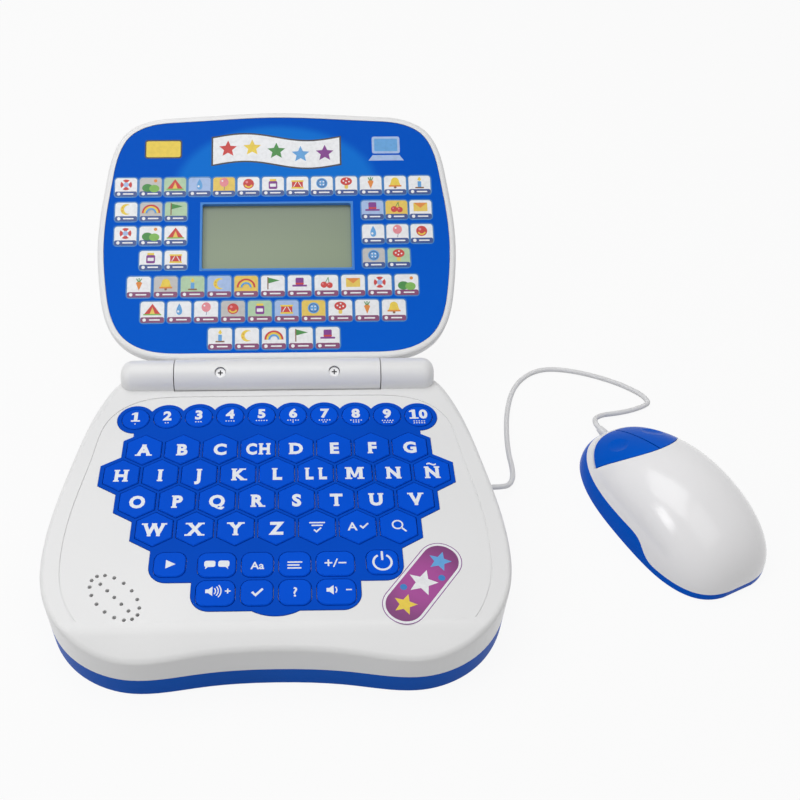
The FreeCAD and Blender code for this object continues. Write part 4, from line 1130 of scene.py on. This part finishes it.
def flushWall(outline):
    # how far in from the side and how high each corner of the wall's section lies
    quarter = [i * math.pi / 2 / skirt["steps"] for i in range(skirt["steps"] + 1)]
    section = [(0.0, skirt["top"]), (0.0, skirt["round"] + skirt["band"])]
    section += [(skirt["round"] * (1 - math.cos(a)), skirt["round"] * (1 - math.sin(a))) for a in quarter]
    section.append((skirt["inset"] + skirt["draft"] + skirt["sunk"], 0.0))
    section.append((skirt["inset"] + skirt["sunk"], skirt["top"]))
    bm = bmesh.new()
    rows = [[bm.verts.new((x, y, z)) for x, y in inset(outline, amount)] for amount, z in section]
    for row, lower in zip(rows, rows[1:] + rows[:1]):
        for i in range(len(row)):
            bm.faces.new((row[i - 1], lower[i - 1], lower[i], row[i]))
    bmesh.ops.recalc_face_normals(bm, faces=bm.faces)
    return shellPiece("tray_wall", bm, "blueShell", "base")


rim = coverRim()
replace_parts(slopedCover(rim), "base_top_cover")
flushWall(rim)
print("base front made")

# the mouse cord, from the base's boot to the mouse's boot
yaw = math.radians(mousePlace["yaw"])
cordSize = {"radius": 1.3, "sides": 6, "steps": 10, "lead": 6.0, "mouseBoot": 4.0, "baseY": 22.0,
            "baseZ": 6.6, "mouseZ": 5.2}
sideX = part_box("base_cord_boot")[1].x / mm


def noseAhead(distance):
    reach = mousePlace["nose"] + cordSize["mouseBoot"] + distance
    x = mousePlace["x"] - reach * math.sin(yaw)
    y = mousePlace["y"] + reach * math.cos(yaw)
    return (x, y, cordSize["mouseZ"])


cordRoute = [  # in millimetres
    (sideX, cordSize["baseY"], cordSize["baseZ"]),
    (sideX + cordSize["lead"], cordSize["baseY"], cordSize["baseZ"]),
    (115.0, 26.0, 3.4), (118.3, 35.0, 1.4), (117.5, 52.0, 1.4), (121.0, 78.0, 1.4), (129.0, 99.0, 1.4),
    (144.0, 110.5, 1.4), (163.0, 108.5, 1.4), (183.0, 100.0, 1.4), (195.5, 90.5, 1.4), (198.6, 84.6, 1.4),
    (197.6, 82.0, 1.4), (190.0, 78.3, 1.4), (180.0, 75.5, 1.6), (170.0, 73.2, 2.8),
    noseAhead(cordSize["lead"]), noseAhead(0.0),
]


def cordCurve(bevel):
    curve = bpy.data.curves.new("cordLine", "CURVE")
    curve.dimensions = "3D"
    curve.resolution_u = cordSize["steps"]
    curve.bevel_depth = bevel
    curve.bevel_resolution = cordSize["sides"]
    curve.use_fill_caps = True
    spline = curve.splines.new("NURBS")
    spline.points.add(len(cordRoute) - 1)
    for point, place in zip(spline.points, cordRoute):
        point.co = (*[c * mm for c in place], 1.0)
    spline.order_u = 3
    spline.use_endpoint_u = True
    spline.use_smooth = True
    return plainMesh(addObject("cordLine", curve))


linePoints = [tuple(v.co) for v in cordCurve(0.0).vertices]
cordMesh = cordCurve(cordSize["radius"] * mm)
cordMesh.materials.clear()
cordMesh.materials.append(finishes["cordSkin"])
cord = addObject("mouse_cord_skin", cordMesh)
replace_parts(cord, "mouse_cord")
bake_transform(cord)
tuple(c * mm for c in cordRoute[0])


# floor, light and camera
floorSize = {"half": 60.0, "sunk": 0.0002, "pale": (0.66, 0.66, 0.66), "dark": (0.64, 0.64, 0.64),
             "paperScale": 8.0, "paper": 0.03, "glow": 0.92}


def floorFinish():
    # white to the eye, and darker to the light that it throws back
    f = Finish("paleFloor")
    paper = f.noise(floorSize["paperScale"], 2.0)
    tone = f.mix(floorSize["paper"] * paper, rgba(floorSize["pale"]), rgba(floorSize["dark"]))
    diffuse = f.node("ShaderNodeBsdfDiffuse", None, {"Color": tone})
    glow = f.node("ShaderNodeEmission", None, {"Color": rgba((1, 1, 1)), "Strength": 1.0})
    both = f.node("ShaderNodeMixShader", None, {0: floorSize["glow"] * f.seen(), 1: diffuse, 2: glow})
    f.node("ShaderNodeOutputMaterial", None, {"Surface": both})
    return f.material


half = floorSize["half"]
floorMesh = bpy.data.meshes.new("floor")
floorMesh.from_pydata([(x, y, 0) for x, y in upright(-half, half, -half, half)], [], [(0, 1, 2, 3)])
floorMesh.materials.append(floorFinish())
floor = addObject("floor", floorMesh)
floor.location.z = -floorSize["sunk"]

world = bpy.data.worlds.new("studio")
bpy.context.scene.world = world
sky = Finish("studio", world)
skyLight = {"fall": 0.36, "seen": 0.60}
background = sky.node("ShaderNodeBackground", None, {
    "Color": rgba((1, 1, 1)), "Strength": skyLight["fall"] + skyLight["seen"] * sky.seen()})
sky.node("ShaderNodeOutputWorld", None, {"Surface": background})

lamps = {
    "overhead": {"at": (-0.25, 0.25, 1.1), "aim": (0.05, 0.0, 0), "size": 0.9, "power": 5.2},
    "windowLeft": {"at": (-0.75, -0.25, 0.75), "aim": (0.1, 0.0, 0.02), "size": 0.35, "power": 1.9},
    "frontFill": {"at": (0.35, -0.40, 1.15), "aim": (0.05, 0.0, 0.02), "size": 0.8, "power": 1.7},
}
for name, lamp in lamps.items():
    light = bpy.data.lights.new(name, "AREA")
    light.energy, light.size = lamp["power"], lamp["size"]
    piece = addObject(name, light)
    piece.location = lamp["at"]
    piece.rotation_euler = (Vector(lamp["aim"]) - Vector(lamp["at"])).to_track_quat("-Z", "Y").to_euler()

view = {"at": (9.54, -287.45, 387.89), "pitch": 45.83, "yaw": 0.843, "lens": 45.0, "sensor": 36.0,
        "shift": 0.1163, "near": 0.01}
lens = bpy.data.cameras.new("photoView")
lens.lens, lens.sensor_width = view["lens"], view["sensor"]
lens.shift_x, lens.clip_start = view["shift"], view["near"]
camera = addObject("photoView", lens)
camera.location = Vector(view["at"]) * mm
pitch, turn = math.radians(view["pitch"]), math.radians(view["yaw"])
forward = Vector((math.sin(turn) * math.cos(pitch), math.cos(turn) * math.cos(pitch), -math.sin(pitch)))
camera.rotation_euler = forward.to_track_quat("-Z", "Y").to_euler()
bpy.context.scene.camera = camera
bpy.context.scene.view_settings.view_transform = "Standard"
print("floor, light and camera set")
